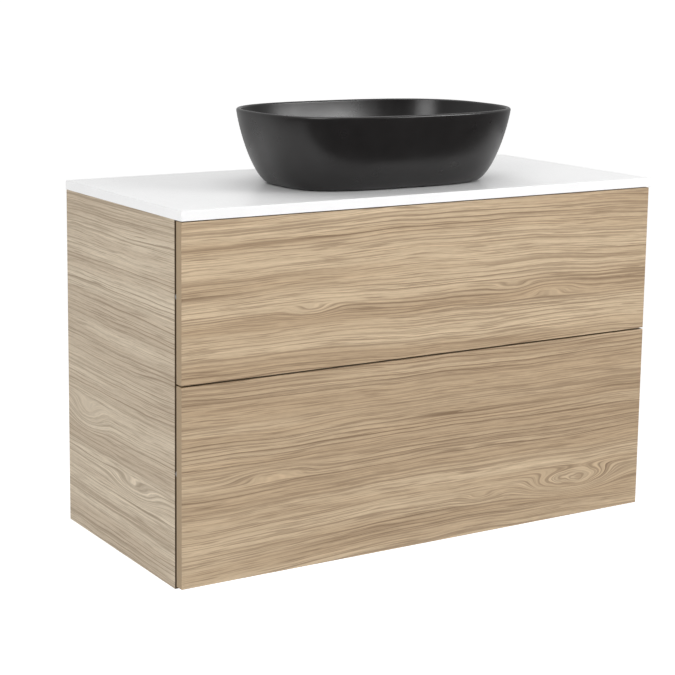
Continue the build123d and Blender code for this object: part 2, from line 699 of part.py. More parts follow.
def basin():
    body = loft([outer_section(k) for k in (0, 0.03, 0.09, 0.2, 0.38, 0.6, 0.8, 1.0)])
    turns = [pi / 2 * k for k in (0, 0.16, 0.34, 0.52, 0.7, 0.86, 1.0)]
    body -= loft([bowl_section(turn) for turn in turns])
    under = outline(BASIN_FOOT_WIDTH / 2 - FOOT_RING, BASIN_FOOT_DEPTH / 2 - FOOT_RING,
                    FOOT_ROUNDNESS, foot_level)
    body -= extrude(under, FOOT_RECESS)
    body -= post(0, waste_y, foot_level, floor_level + 1, drain_hole_radius)
    body -= post(0, waste_y, floor_level - DRAIN_SEAT_DEPTH, floor_level + 5, FLANGE_RADIUS + 1)
    return body


def seal_ring():
    """The bead that beds the basin's foot on the worktop."""
    half_x, half_y = BASIN_FOOT_WIDTH / 2 - SEAL_INSET, BASIN_FOOT_DEPTH / 2 - SEAL_INSET
    outer = outline(half_x, half_y, FOOT_ROUNDNESS, worktop_top)
    hole = outline(half_x - SEAL_WIDTH, half_y - SEAL_WIDTH, FOOT_ROUNDNESS, worktop_top)
    return extrude(outer - hole, SEAL_THICKNESS)


def worktop():
    slab = block(-half_worktop, half_worktop, -WORKTOP_DEPTH, 0, CARCASS_HEIGHT, worktop_top)
    slab = fillet(slab.faces().sort_by(Axis.Z)[-1].edges(), WORKTOP_EDGE)
    slab -= post(0, waste_y, CARCASS_HEIGHT, worktop_top, worktop_hole_radius)
    for x, y in worktop_screw_places:
        slab -= worktop_screw_hole(x, y)
    return slab


def make_top():
    save("worktop", worktop())
    save("worktop_screws", [worktop_screw(x, y) for x, y in worktop_screw_places])
    save("basin", basin())
    save("basin_seal", seal_ring())


# ------------------------------------------------------------------ waste and trap
GASKET = 1.0
LOWER_GASKET = 3.0
PLUG_RADIUS = 31.0
PLUG_THICKNESS = 3.5
STEM_RADIUS = 4.0
BACKNUT_HEIGHT = 12.0
BACKNUT_RADIUS = 30.0
BODY_RADIUS = 30.0
BODY_WALL = 2.5
CUP_RADIUS = 33.5
seat_level = floor_level - DRAIN_SEAT_DEPTH
flange_bottom = seat_level + GASKET
tail_bottom = floor_level - WASTE_LENGTH
cup_top = TRAP_OUTLET_HEIGHT - 24.0
body_bottom = cup_top - 18.0
cup_bottom = body_bottom - 20.0
body_top = TRAP_OUTLET_HEIGHT + 30.0
neck_top = body_top + 14.0
rosette_radius = 40.0


def ring(z0, z1, outer, hole):
    return post(0, waste_y, z0, z1, outer) - post(0, waste_y, z0, z1, hole)


def waste_body():
    """The flange in the bowl, its threaded tail, and the spider that guides the plug's stem."""
    bore = WASTE_RADIUS - 2.6
    body = post(0, waste_y, flange_bottom, floor_level, FLANGE_RADIUS)
    body += post(0, waste_y, tail_bottom, flange_bottom, WASTE_RADIUS)
    body -= post(0, waste_y, tail_bottom, floor_level, bore)
    guide = (floor_level - 27.0, floor_level - 14.0)
    spider = post(0, waste_y, guide[0], guide[1], STEM_RADIUS + 3)
    spider += block(-bore - 1, bore + 1, waste_y - 1.25, waste_y + 1.25, guide[0] + 3, guide[1] - 3)
    spider += block(-1.25, 1.25, waste_y - bore - 1, waste_y + bore + 1, guide[0] + 3, guide[1] - 3)
    body += spider
    return body - post(0, waste_y, guide[0], guide[1], STEM_RADIUS + FIT)


def waste_plug():
    """The round cap that pops up, with its stem."""
    cap_bottom = floor_level + RUNNING
    cap = post(0, waste_y, cap_bottom, cap_bottom + PLUG_THICKNESS, PLUG_RADIUS)
    cap = fillet(cap.faces().sort_by(Axis.Z)[-1].edges(), 2.2)
    return cap + post(0, waste_y, floor_level - 36.0, cap_bottom, STEM_RADIUS)


def backnut():
    """The six-sided nut that clamps basin and worktop together."""
    top = CARCASS_HEIGHT - LOWER_GASKET
    flat = Pos(0, waste_y, top - BACKNUT_HEIGHT) * RegularPolygon(BACKNUT_RADIUS, 6)
    hexagon = extrude(flat, BACKNUT_HEIGHT)
    return hexagon - post(0, waste_y, top - BACKNUT_HEIGHT, top, WASTE_RADIUS + FIT)


def grips(radius, z0, z1, count, axis_y=False):
    """Small ribs round a hand-tightened nut or cup."""
    ribs = []
    for i in range(count):
        turn = 2 * pi * i / count
        u, v = radius * cos(turn), radius * sin(turn)
        if axis_y:
            ribs.append(rod_y(u, z0, z1, TRAP_OUTLET_HEIGHT + v, 1.6))
        else:
            ribs.append(post(u, waste_y + v, z0, z1, 1.6))
    return ribs


def slip_nut(z0, z1, step, thread):
    """A slip nut standing along Z: wide over a thread, close round the pipe beyond it."""
    nut = post(0, waste_y, z0, z1, nut_radius)
    for rib in grips(nut_radius, z0, z1, 12):
        nut += rib
    low, high = step
    nut -= post(0, waste_y, low, high, thread + FIT)
    return nut - post(0, waste_y, z0, z1, PIPE_RADIUS + FIT)


def outlet_nut():
    start = waste_y + BODY_RADIUS + 6.0
    nut = rod_y(0, start, start + 22.0, TRAP_OUTLET_HEIGHT, nut_radius)
    for rib in grips(nut_radius, start, start + 22.0, 12, axis_y=True):
        nut += rib
    nut -= rod_y(0, start, start + 14.0, TRAP_OUTLET_HEIGHT, thread_radius + FIT)
    return nut - rod_y(0, start, start + 22.0, TRAP_OUTLET_HEIGHT, PIPE_RADIUS + FIT)


def inlet_pipe():
    """The dip tube from the waste down into the trap, with the collar its nut holds."""
    bottom = body_bottom + 6.0
    pipe = post(0, waste_y, bottom, tail_bottom, PIPE_RADIUS)
    pipe += post(0, waste_y, tail_bottom - 4.0, tail_bottom, WASTE_RADIUS - 0.6)
    return pipe - post(0, waste_y, bottom, tail_bottom, PIPE_RADIUS - PIPE_WALL)


def trap_body():
    """The trap's chamber with its upper neck and its outlet towards the wall."""
    outlet_end = waste_y + BODY_RADIUS + 20.0
    chamber = post(0, waste_y, body_bottom, body_top, BODY_RADIUS)
    chamber = fillet(chamber.faces().sort_by(Axis.Z)[-1].edges(), 8)
    chamber += post(0, waste_y, body_top, neck_top, thread_radius)
    chamber += rod_y(0, waste_y, outlet_end, TRAP_OUTLET_HEIGHT, thread_radius)
    chamber -= post(0, waste_y, body_bottom, body_top - BODY_WALL * 2, BODY_RADIUS - BODY_WALL)
    chamber -= post(0, waste_y, body_bottom, neck_top, PIPE_RADIUS + FIT)
    return chamber - rod_y(0, waste_y, outlet_end, TRAP_OUTLET_HEIGHT, PIPE_RADIUS + FIT)


def trap_cup():
    """The cup that unscrews from the chamber for cleaning."""
    cup = post(0, waste_y, cup_bottom, cup_top, CUP_RADIUS)
    cup = fillet(cup.faces().sort_by(Axis.Z)[0].edges(), 6)
    for rib in grips(CUP_RADIUS, cup_bottom + 14, cup_top - 2, 16):
        cup += rib
    cup -= post(0, waste_y, body_bottom - 0.5, cup_top, BODY_RADIUS + RUNNING)
    return cup - post(0, waste_y, cup_bottom + BODY_WALL, body_bottom, BODY_RADIUS - BODY_WALL)


def outlet_pipe():
    """The pipe to the wall; a bead marks how far its end goes into the wall socket."""
    start = waste_y + BODY_RADIUS - 1.0
    pipe = rod_y(0, start, PIPE_INTO_WALL, TRAP_OUTLET_HEIGHT, PIPE_RADIUS)
    pipe += rod_y(0, -2.0, 0, TRAP_OUTLET_HEIGHT, PIPE_RADIUS + 0.8)
    return pipe - rod_y(0, start, PIPE_INTO_WALL, TRAP_OUTLET_HEIGHT, PIPE_RADIUS - PIPE_WALL)


def rosette():
    """The dished cover where the pipe meets the wall."""
    disc = rod_y(0, -10.0, 0, TRAP_OUTLET_HEIGHT, rosette_radius)
    disc = fillet(disc.faces().sort_by(Axis.Y)[0].edges(), 6)
    disc -= rod_y(0, -8.0, 0, TRAP_OUTLET_HEIGHT, rosette_radius - 4.0)
    return disc - rod_y(0, -10.0, 0, TRAP_OUTLET_HEIGHT, PIPE_RADIUS + FIT)


def make_waste():
    save("waste_body", waste_body())
    save("waste_plug", waste_plug())
    upper = ring(seat_level, flange_bottom, FLANGE_RADIUS - 1, drain_hole_radius)
    lower = ring(CARCASS_HEIGHT - LOWER_GASKET, CARCASS_HEIGHT, BACKNUT_RADIUS, WASTE_RADIUS + FIT)
    save("waste_gaskets", [upper, lower])
    save("waste_backnut", backnut())
    tail_thread = (tail_bottom - 4.0, tail_bottom + 14.0)
    top_nut = slip_nut(tail_bottom - 10.0, tail_bottom + 14.0, tail_thread, WASTE_RADIUS)
    neck_thread = (body_top + 2.0, neck_top + 0.2)
    neck_nut = slip_nut(body_top + 2.0, neck_top + 10.0, neck_thread, thread_radius)
    save("trap_nuts", [top_nut, neck_nut, outlet_nut()])
    save("trap_inlet_pipe", inlet_pipe())
    save("trap_body", trap_body())
    save("trap_cup", trap_cup())
    save("trap_outlet_pipe", outlet_pipe())
    save("wall_rosette", rosette())


os.makedirs("parts", exist_ok=True)
make_carcass()
make_hangers()
upper_box = DrawerBox("upper", upper_box_bottom, UPPER_BOX_HEIGHT, notched=True)
lower_box = DrawerBox("lower", lower_box_bottom, LOWER_BOX_HEIGHT, notched=False)
upper_box.write(upper_front_bottom, upper_front_height)
lower_box.write(lower_front_bottom, LOWER_FRONT_HEIGHT)
make_top()
make_waste()
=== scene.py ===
# %% [markdown]
# # A wall-hung vanity unit with a vessel basin
# This notebook dresses a ready-made mechanical model of a bathroom unit: a two-drawer cabinet, a thin
# white worktop and a black basin. The mechanical parts come in as a fixed frame. Each cell below either
# gives a part its finish or puts a finer piece in its place, and every piece rides on the body that
# carries it, so that the drawers, the latches and the plug still move.

# %% Load the mechanical frame
import json
import math

import bmesh
import bpy
from mathutils import Euler, Matrix, Vector

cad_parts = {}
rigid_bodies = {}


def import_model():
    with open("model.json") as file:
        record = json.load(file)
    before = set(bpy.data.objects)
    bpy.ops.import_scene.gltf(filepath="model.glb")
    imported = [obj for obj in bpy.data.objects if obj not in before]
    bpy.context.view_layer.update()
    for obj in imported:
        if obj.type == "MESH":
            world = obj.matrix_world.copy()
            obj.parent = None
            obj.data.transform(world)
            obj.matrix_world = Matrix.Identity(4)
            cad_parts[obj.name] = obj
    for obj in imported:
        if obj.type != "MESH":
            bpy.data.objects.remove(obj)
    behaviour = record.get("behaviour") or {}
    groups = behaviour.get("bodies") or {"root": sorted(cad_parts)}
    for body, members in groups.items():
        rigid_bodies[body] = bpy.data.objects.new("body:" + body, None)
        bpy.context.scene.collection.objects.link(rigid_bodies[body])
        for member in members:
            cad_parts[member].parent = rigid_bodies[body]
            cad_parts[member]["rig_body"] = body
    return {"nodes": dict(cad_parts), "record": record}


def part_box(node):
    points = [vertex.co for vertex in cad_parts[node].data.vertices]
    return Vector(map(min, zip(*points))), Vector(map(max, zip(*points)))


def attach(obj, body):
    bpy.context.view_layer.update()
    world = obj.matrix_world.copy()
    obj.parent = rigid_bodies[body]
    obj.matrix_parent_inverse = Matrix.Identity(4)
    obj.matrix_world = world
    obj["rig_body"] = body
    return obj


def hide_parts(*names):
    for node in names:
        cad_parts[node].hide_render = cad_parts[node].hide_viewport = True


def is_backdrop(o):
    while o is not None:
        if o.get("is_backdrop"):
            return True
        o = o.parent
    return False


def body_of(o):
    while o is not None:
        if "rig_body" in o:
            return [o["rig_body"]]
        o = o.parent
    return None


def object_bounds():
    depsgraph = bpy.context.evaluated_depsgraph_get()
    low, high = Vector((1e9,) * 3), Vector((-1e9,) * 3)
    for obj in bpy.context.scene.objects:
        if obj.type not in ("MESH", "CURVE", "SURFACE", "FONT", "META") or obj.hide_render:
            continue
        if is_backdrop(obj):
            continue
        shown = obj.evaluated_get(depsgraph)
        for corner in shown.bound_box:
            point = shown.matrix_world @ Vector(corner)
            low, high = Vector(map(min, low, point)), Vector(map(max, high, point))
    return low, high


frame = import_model()
cad_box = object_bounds()
MM = 0.001

# %% [markdown]
# ## Two small tools
# Colours are easier to pick as the hex codes of a paint chart, but the shader works with linear light,
# so one function turns one into the other. Node trees are easier to read when a node, its settings and
# its links are made in one call, so a second function does that for shader and geometry trees alike.


# %% Colour and node helpers
def linear(code):
    """An sRGB hex colour such as '#B6A288' as linear RGBA."""
    parts = [int(code[i:i + 2], 16) / 255 for i in (1, 3, 5)]
    return [p / 12.92 if p <= 0.04045 else ((p + 0.055) / 1.055) ** 2.4 for p in parts] + [1.0]


MATH = "ShaderNodeMath"  # one step of arithmetic, the kind of node that is used most here


def add(tree, kind, inputs=None, **settings):
    """Adds a node. For each socket, another node (its first output) or a node's output is linked, and
    any other value is set."""
    made = tree.nodes.new(kind)
    for name, value in settings.items():
        setattr(made, name, value)
    for socket, value in (inputs or {}).items():
        if isinstance(value, bpy.types.Node):
            value = value.outputs[0]
        if isinstance(value, bpy.types.NodeSocket):
            tree.links.new(value, made.inputs[socket])
        else:
            made.inputs[socket].default_value = value
    return made


def new_material(name, **surface):
    """A material with one Principled shader, whose plain values are set on its own sockets."""
    material = bpy.data.materials.new(name)
    material.use_nodes = True
    tree = material.node_tree
    tree.nodes.clear()
    shader = add(tree, "ShaderNodeBsdfPrincipled", {key.replace("_", " "): v for key, v in surface.items()})
    add(tree, "ShaderNodeOutputMaterial", {"Surface": shader})
    return material, tree, shader


print("black glaze in linear light:", [round(v, 4) for v in linear("#1C1B1B")[:3]])

# %% [markdown]
# ## Camera, floor and light
# The unit hangs on a wall and is seen from the front left, slightly from above, with a long lens. The
# floor is pale and lies far below. The sky lights everything evenly, and is dimmer on the side that the
# unit faces, like a studio with the lights off behind the camera: that keeps the front of a black
# glazed basin black. Soft lamps from the left, the right and above do the rest. To the camera itself
# the sky is plain white from every side.

# %% Camera
CAMERA_PLACE = Vector((-1.78288, -2.94012, 1.03980))
CAMERA_TURN = math.radians(30.737)  # from looking straight at the wall, towards the user's right
CAMERA_DROP = math.radians(9.513)  # below the horizon
CAMERA_TILT = math.radians(0.499)
LENS = 93.375  # millimetres, on a 36 mm wide sensor
LENS_SHIFT = (0.08, -0.12)  # to the right and down, as shares of the picture's width


def new_object(name, data):
    """An object of the scene that shows the data."""
    made = bpy.data.objects.new(name, data)
    bpy.context.scene.collection.objects.link(made)
    return made


camera = new_object("camera", bpy.data.cameras.new("camera"))
camera.data.lens = LENS
camera.data.shift_x, camera.data.shift_y = LENS_SHIFT
heading = Euler((math.pi / 2 - CAMERA_DROP, 0, -CAMERA_TURN)).to_matrix()
turn = heading @ Matrix.Rotation(CAMERA_TILT, 3, "Z")
camera.matrix_world = Matrix.Translation(CAMERA_PLACE) @ turn.to_4x4()
bpy.context.scene.camera = camera
print("camera stands", round(CAMERA_PLACE.length, 2), "m from the origin")

# %% Floor
FLOOR_LEVEL = -1.1
FLOOR_REACH = 30.0

floor_mesh = bpy.data.meshes.new("floor")
corners = [(x * FLOOR_REACH, y * FLOOR_REACH, FLOOR_LEVEL) for x, y in ((-1, -1), (1, -1), (1, 1), (-1, 1))]
floor_mesh.from_pydata(corners, [], [(0, 1, 2, 3)])
floor = new_object("floor", floor_mesh)
floor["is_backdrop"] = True
floor.visible_glossy = False  # a glazed front would mirror it, and the studio has none that near
paint, _, _ = new_material("pale floor paint", Base_Color=linear("#F6F6F6"), Roughness=0.9,
                           Emission_Color=linear("#FFFFFF"), Emission_Strength=0.55)
floor_mesh.materials.append(paint)
print("floor at", FLOOR_LEVEL, "m")

# %% Sky and lamps
SKY_DARKEST = 0.04  # low in front of the unit
SKY_LIGHTEST = 0.62  # high behind it
BRIGHT_WAY = (0, 0.8, 0.6)  # the sky grows lighter this way, to the wall's side and up
BACKDROP_WHITE = 1.02

world = bpy.data.worlds.new("studio")
bpy.context.scene.world = world
world.use_nodes = True
tree = world.node_tree
tree.nodes.clear()
direction = add(tree, "ShaderNodeTexCoord").outputs["Generated"]
height = add(tree, "ShaderNodeVectorMath", {0: direction, 1: BRIGHT_WAY}, operation="DOT_PRODUCT")
strength = add(tree, "ShaderNodeMapRange", {0: height.outputs["Value"], 1: -0.75, 2: 0.6,
                                            3: SKY_DARKEST, 4: SKY_LIGHTEST},
               interpolation_type="SMOOTHSTEP")
lighting = add(tree, "ShaderNodeBackground", {"Color": linear("#FFFFFF"), "Strength": strength})
backdrop = add(tree, "ShaderNodeBackground", {"Color": linear("#FFFFFF"), "Strength": BACKDROP_WHITE})
seen = add(tree, "ShaderNodeLightPath").outputs["Is Camera Ray"]
mixed = add(tree, "ShaderNodeMixShader", {0: seen, 1: lighting, 2: backdrop})
add(tree, "ShaderNodeOutputWorld", {"Surface": mixed})


def soft_lamp(name, place, aim, size, power):
    """A square softbox that faces a point."""
    data = bpy.data.lights.new(name, "AREA")
    data.shape = "SQUARE"
    data.size = size
    data.energy = power
    lamp = new_object(name, data)
    lamp.location = place
    lamp.rotation_euler = (Vector(aim) - Vector(place)).to_track_quat("-Z", "Y").to_euler()


soft_lamp("left softbox", (-2.2, -2.3, 2.3), (0, -0.25, 0.4), 1.5, 44)
soft_lamp("right softbox", (2.2, -2.9, 1.8), (0, -0.25, 0.45), 1.9, 16)
soft_lamp("top softbox", (0.2, 0.3, 3.2), (0, -0.25, 0.6), 2.2, 27)
soft_lamp("bowl softbox", (1.9, -2.25, 2.1), (0, -0.1, 0.76), 1.1, 34)  # lights the bowl's far wall
bpy.context.scene.view_settings.view_transform = "Standard"
print("sky from", SKY_DARKEST, "to", SKY_LIGHTEST)

# %% [markdown]
# ## The wood decor
# The fronts and sides are boards faced with a printed wood decor: light elm with fine brown lines that
# run level, drift in long waves and close into a few eyes where a branch was. Real grain is the log's
# yearly rings cut open, so one number, the depth in the rings, decides the colour. Here that number is
# the height on the board, pushed up and down by slow noise, and lifted round each eye. Noise drawn out
# along the grain then reads that number, so every line and dash follows the rings. The narrow edges of
# the boards carry a plain brown edge band. On the carcass that band is dark: it is painted shade for
# the gap behind the fronts.

# %% Wood decor material
LINE_SPACING = 3.6  # millimetres between the dark lines
RING_WIDTH = 8.5  # millimetres of board that one yearly ring takes
DASH_SPACING = 1.8  # millimetres between the fine dashes
SLOW = (1.2, 2.2, 3.0)  # waves of the drift per metre: along the grain, across it, and into the board
RIPPLE = (7.0, 11.0, 5.0)
FLAME = (30.0, 40.0, 5.0)  # the small waves that crowd round an eye


def wood_decor(name, grain, place, band, eyes=(), light="#C5AF91", dark="#684E34", tint="#B1997B",
               lying=False):
    """Elm decor. grain is the axis the lines follow, place picks the stretch of the printed sheet, and
    band is (level along Y where the print ends, level where the edge band is full, its colour). Each
    eye is (its centre, half length, half height, how far it lifts the rings), in metres. lying is for
    boards that are seen on their top and bottom too."""
    material, tree, shader = new_material(name, Roughness=0.48)
    where = add(tree, "ShaderNodeTexCoord").outputs["Object"]
    apart = add(tree, "ShaderNodeSeparateXYZ", {0: where}).outputs
    along, across = (apart["X"], apart["Y"]) if grain == "X" else (apart["Y"], apart["X"])
    level = apart["Z"]
    if lying:
        level = add(tree, MATH, {0: level, 1: across}, operation="ADD")
    board = add(tree, "ShaderNodeCombineXYZ", {0: along, 1: level, 2: across})
    board = add(tree, "ShaderNodeVectorMath", {0: board, 1: place}, operation="ADD")

    def noise(vector, scale, detail):
        scaled = add(tree, "ShaderNodeVectorMath", {0: vector, 1: scale}, operation="MULTIPLY")
        return add(tree, "ShaderNodeTexNoise", {"Vector": scaled, "Scale": 1.0, "Detail": detail}).outputs[0]

    drift = add(tree, MATH, {0: noise(board, SLOW, 1.5), 1: 0.045}, operation="MULTIPLY")
    drift = add(tree, MATH, {0: noise(board, RIPPLE, 1.0), 1: 0.009, 2: drift}, operation="MULTIPLY_ADD")
    rings = add(tree, MATH, {0: level, 1: drift}, operation="ADD")
    flat = add(tree, "ShaderNodeCombineXYZ", {0: along, 1: level})
    flame = add(tree, MATH, {0: noise(board, FLAME, 1.0), 1: 0.35, 2: 0.82}, operation="MULTIPLY_ADD")
    for centre, length, height, lift in eyes:
        away = add(tree, "ShaderNodeVectorMath", {0: flat, 1: (centre[0], centre[1], 0)},
                   operation="SUBTRACT")
        away = add(tree, "ShaderNodeVectorMath", {0: away, 1: (1 / length, 1 / height, 0)},
                   operation="MULTIPLY")
        away = add(tree, "ShaderNodeVectorMath", {0: away}, operation="LENGTH").outputs["Value"]
        rise = add(tree, "ShaderNodeMapRange", {0: away, 1: 0.0, 2: 1.0, 3: lift, 4: 0.0},
                   interpolation_type="SMOOTHERSTEP")
        rings = add(tree, MATH, {0: rise, 1: flame, 2: rings}, operation="MULTIPLY_ADD")
    sheet = add(tree, "ShaderNodeCombineXYZ", {0: along, 1: rings, 2: across})
    sheet = add(tree, "ShaderNodeVectorMath", {0: sheet, 1: place}, operation="ADD")

    def streaks(per_metre, lines_per_metre, detail, floor, top, low=0.0, high=1.0):
        """Noise drawn out along the grain that follows the rings, from low to high."""
        value = noise(sheet, (per_metre, lines_per_metre, 6.0), detail)
        return add(tree, "ShaderNodeMapRange", {0: value, 1: floor, 2: top, 3: low, 4: high},
                   interpolation_type="SMOOTHSTEP").outputs[0]

    bands = streaks(0.8, 22.0, 2.0, 0.35, 0.65)
    lines = streaks(1.3, 1000 / LINE_SPACING, 1.5, 0.53, 0.70, 0.0, 0.50)
    dashes = streaks(12.0, 1000 / DASH_SPACING, 1.0, 0.50, 0.72, 0.0, 0.55)
    pale = streaks(5.0, 1200 / DASH_SPACING, 1.0, 0.50, 0.75, 1.0, 1.16)
    fibres = streaks(60.0, 1100.0, 1.0, 0.3, 0.7, 0.94, 1.06)
    # Late wood: each yearly ring darkens slowly and ends sharply, more in some years than in others.
    years = add(tree, MATH, {0: rings, 1: 1000 / RING_WIDTH}, operation="MULTIPLY")
    years = add(tree, MATH, {0: noise(sheet, (2.5, 60.0, 6.0), 1.0), 1: 2.0, 2: years},
                operation="MULTIPLY_ADD")
    season = add(tree, MATH, {0: years}, operation="FRACT")
    late = add(tree, "ShaderNodeMapRange", {0: season, 1: 0.62, 2: 0.96}, interpolation_type="SMOOTHSTEP")
    weather = streaks(1.6, 50.0, 1.0, 0.35, 0.65, 0.16, 0.74)
    late = add(tree, MATH, {0: late, 1: weather}, operation="MULTIPLY")
    lines = add(tree, MATH, {0: lines, 1: late}, operation="MAXIMUM")
    ground = add(tree, "ShaderNodeMix", {"Factor": bands, 6: linear(light), 7: linear(tint)},
                 data_type="RGBA").outputs[2]
    print_strength = add(tree, MATH, {0: lines, 1: dashes}, operation="MAXIMUM")
    ground = add(tree, "ShaderNodeVectorMath", {0: ground, "Scale": pale}, operation="SCALE")
    wood = add(tree, "ShaderNodeMix", {"Factor": print_strength, 6: ground, 7: linear(dark)},
               data_type="RGBA").outputs[2]
    wood = add(tree, "ShaderNodeVectorMath", {0: wood, "Scale": fibres}, operation="SCALE").outputs[0]
    behind = add(tree, "ShaderNodeMapRange", {0: apart["Y"], 1: band[0], 2: band[1]})
    grain_noise = noise(board, (12.0, 700.0, 700.0), 1.0)
    shade = add(tree, "ShaderNodeMapRange", {0: grain_noise, 3: 0.9, 4: 1.1})
    edge = add(tree, "ShaderNodeVectorMath", {0: linear(band[2])[:3], "Scale": shade},
               operation="SCALE")
    wood = add(tree, "ShaderNodeMix", {"Factor": behind, 6: wood, 7: edge}, data_type="RGBA").outputs[2]
    tree.links.new(wood, shader.inputs["Base Color"])
    pores = add(tree, "ShaderNodeBump", {"Strength": 0.25, "Distance": 0.15 * MM, "Height": print_strength},
                invert=True)
    tree.links.new(pores.outputs[0], shader.inputs["Normal"])
    gloss = add(tree, "ShaderNodeMapRange", {0: print_strength, 3: 0.46, 4: 0.58}).outputs[0]
    tree.links.new(gloss, shader.inputs["Roughness"])
    return material


front_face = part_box("upper_drawer_front")[0][1]
side_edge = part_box("side_panel_left")[0][1]
# The fronts' rounded edges run into a plain brown band. The carcass's front edges get a dark band,
# which is painted shade for the gap behind the fronts.
front_band = (front_face + 0.8 * MM, front_face + 1.1 * MM, "#A08A6C")
carcass_band_painted_shade = (side_edge + 0.3 * MM, side_edge, "#4E3F2D")
upper_wood = wood_decor("elm_decor_upper_front", "X", (0.0, 0.0, 0.0), band=front_band,
                        eyes=[((-0.25, 0.457), 0.085, 0.020, 0.010), ((0.18, 0.462), 0.08, 0.016, 0.008),
                              ((0.27, 0.452), 0.10, 0.018, -0.010)])
lower_wood = wood_decor("elm_decor_lower_front", "X", (2.3, 0.7, 0.4), band=front_band,
                        eyes=[((0.335, 0.072), 0.17, 0.040, 0.040), ((0.12, 0.072), 0.08, 0.016, 0.009),
                              ((-0.32, 0.185), 0.13, 0.022, -0.013)])
side_wood = wood_decor("elm_decor_side", "Y", (5.1, 1.9, 2.2), band=carcass_band_painted_shade,
                       eyes=[((-0.08, 0.22), 0.12, 0.045, 0.022), ((-0.28, 0.13), 0.15, 0.032, 0.018)],
                       light="#CCBDA6", dark="#7E6B53", tint="#B9A891")
inner_wood = wood_decor("elm_decor_inside", "X", (8.1, 3.9, 1.2), band=carcass_band_painted_shade, lying=True)
print("wood decor: strong lines every", LINE_SPACING, "mm")

# %% [markdown]
# ## The other finishes
# Each finish starts from what the real one is and how its surface was made. The first cell holds two
# steps that many of them share: a noise whose scale is given as a size in millimetres, and a bump.


# %% Shared steps of the finishes
def grain_of(tree, size_mm, detail=2.0, stretch=(1.0, 1.0, 1.0)):
    """Noise whose features are about size_mm across, drawn out by stretch."""
    where = add(tree, "ShaderNodeTexCoord").outputs["Object"]
    per_metre = tuple(1000.0 / (size_mm * s) for s in stretch)
    scaled = add(tree, "ShaderNodeVectorMath", {0: where, 1: per_metre}, operation="MULTIPLY")
    return add(tree, "ShaderNodeTexNoise", {"Vector": scaled, "Scale": 1.0, "Detail": detail}).outputs[0]


def tint_by(tree, shader, noise, dark, light):
    """Lets a noise carry the base colour from dark to light."""
    share = add(tree, "ShaderNodeMapRange", {0: noise, 1: 0.3, 2: 0.7})
    colour = add(tree, "ShaderNodeMix", {"Factor": share, 6: linear(dark), 7: linear(light)},
                 data_type="RGBA").outputs[2]
    tree.links.new(colour, shader.inputs["Base Color"])


def gloss_by(tree, shader, noise, smooth, rough):
    """Lets a noise carry the roughness from smooth to rough."""
    value = add(tree, "ShaderNodeMapRange", {0: noise, 1: 0.3, 2: 0.7, 3: smooth, 4: rough}).outputs[0]
    tree.links.new(value, shader.inputs["Roughness"])


def relief(tree, shader, height, depth_mm, strength=0.5):
    """Raises the surface by a noise, depth_mm from low to high."""
    bump = add(tree, "ShaderNodeBump", {"Strength": strength, "Distance": depth_mm * MM, "Height": height})
    tree.links.new(bump.outputs[0], shader.inputs["Normal"])


# %% White laminate and black glaze
# Pressed laminate: the press plate leaves a fine pearl texture, so that highlights spread softly.
worktop_white, tree, shader = new_material("pearl_white_laminate", Roughness=0.3)
pearl = grain_of(tree, 1.2)
tint_by(tree, shader, grain_of(tree, 60.0), "#EDEDED", "#EFEFEF")
gloss_by(tree, shader, pearl, 0.27, 0.36)
relief(tree, shader, pearl, 0.03, 0.3)

# Fired glaze over a cast body: a slow waviness bends the highlights, and a faint bloom dulls them.
glaze, tree, shader = new_material("satin_black_glaze", Roughness=0.3, Specular_IOR_Level=0.5)
tint_by(tree, shader, grain_of(tree, 30.0), "#1A1818", "#1E1C1C")
gloss_by(tree, shader, grain_of(tree, 40.0, 1.0), 0.27, 0.33)
relief(tree, shader, grain_of(tree, 40.0, 0.0), 0.02, 0.1)
print("glaze and laminate ready")

# %% Board faces
# Melamine board: a pale printed paper under hard resin, pressed with a faint linen of crossed threads.
pale_board, tree, shader = new_material("pale_melamine_board", Roughness=0.5)
warp = grain_of(tree, 0.9, 1.0, (9.0, 1.0, 1.0))
weft = grain_of(tree, 0.9, 1.0, (1.0, 9.0, 9.0))
linen = add(tree, MATH, {0: warp, 1: weft}, operation="MAXIMUM")
tint_by(tree, shader, linen, "#D6D3CC", "#DEDCD7")
gloss_by(tree, shader, linen, 0.45, 0.6)
relief(tree, shader, linen, 0.05)

# Beech dowels: turned and fluted, pale, with the short dark flecks of the rays along the grain.
beech, tree, shader = new_material("turned_beech", Roughness=0.6)
fleck = grain_of(tree, 0.8, 1.0, (5.0, 1.0, 1.0))
tint_by(tree, shader, fleck, "#B98E62", "#D3B389")
relief(tree, shader, fleck, 0.05)
print("board faces ready")

# %% Metals
# Zinc-plated strip: rolled, then plated and passivated, so faint lines run along it and the blue-white
# film shifts in hue from place to place.
zinc, tree, shader = new_material("zinc_plated_steel", Roughness=0.3, Metallic=1.0)
tint_by(tree, shader, grain_of(tree, 18.0), "#BFC4CB", "#CBCBC6")
rolled = grain_of(tree, 0.6, 1.0, (1.0, 40.0, 1.0))
gloss_by(tree, shader, rolled, 0.26, 0.40)
relief(tree, shader, rolled, 0.01, 0.4)

# Bearing balls: lapped and polished, mirror bright under a film of grease that smears.
bearing, tree, shader = new_material("lapped_bearing_steel", Roughness=0.1, Metallic=1.0)
tint_by(tree, shader, grain_of(tree, 6.0), "#CFD0D2", "#D8D8D8")
gloss_by(tree, shader, grain_of(tree, 2.5, 3.0), 0.06, 0.2)

# Die-cast zinc: the skin of the mould, grey and slightly grainy.
die_cast, tree, shader = new_material("die_cast_zinc", Roughness=0.45, Metallic=1.0)
skin = grain_of(tree, 0.7, 3.0)
tint_by(tree, shader, skin, "#A9ABAE", "#B9BABB")
gloss_by(tree, shader, skin, 0.38, 0.55)
relief(tree, shader, skin, 0.05)

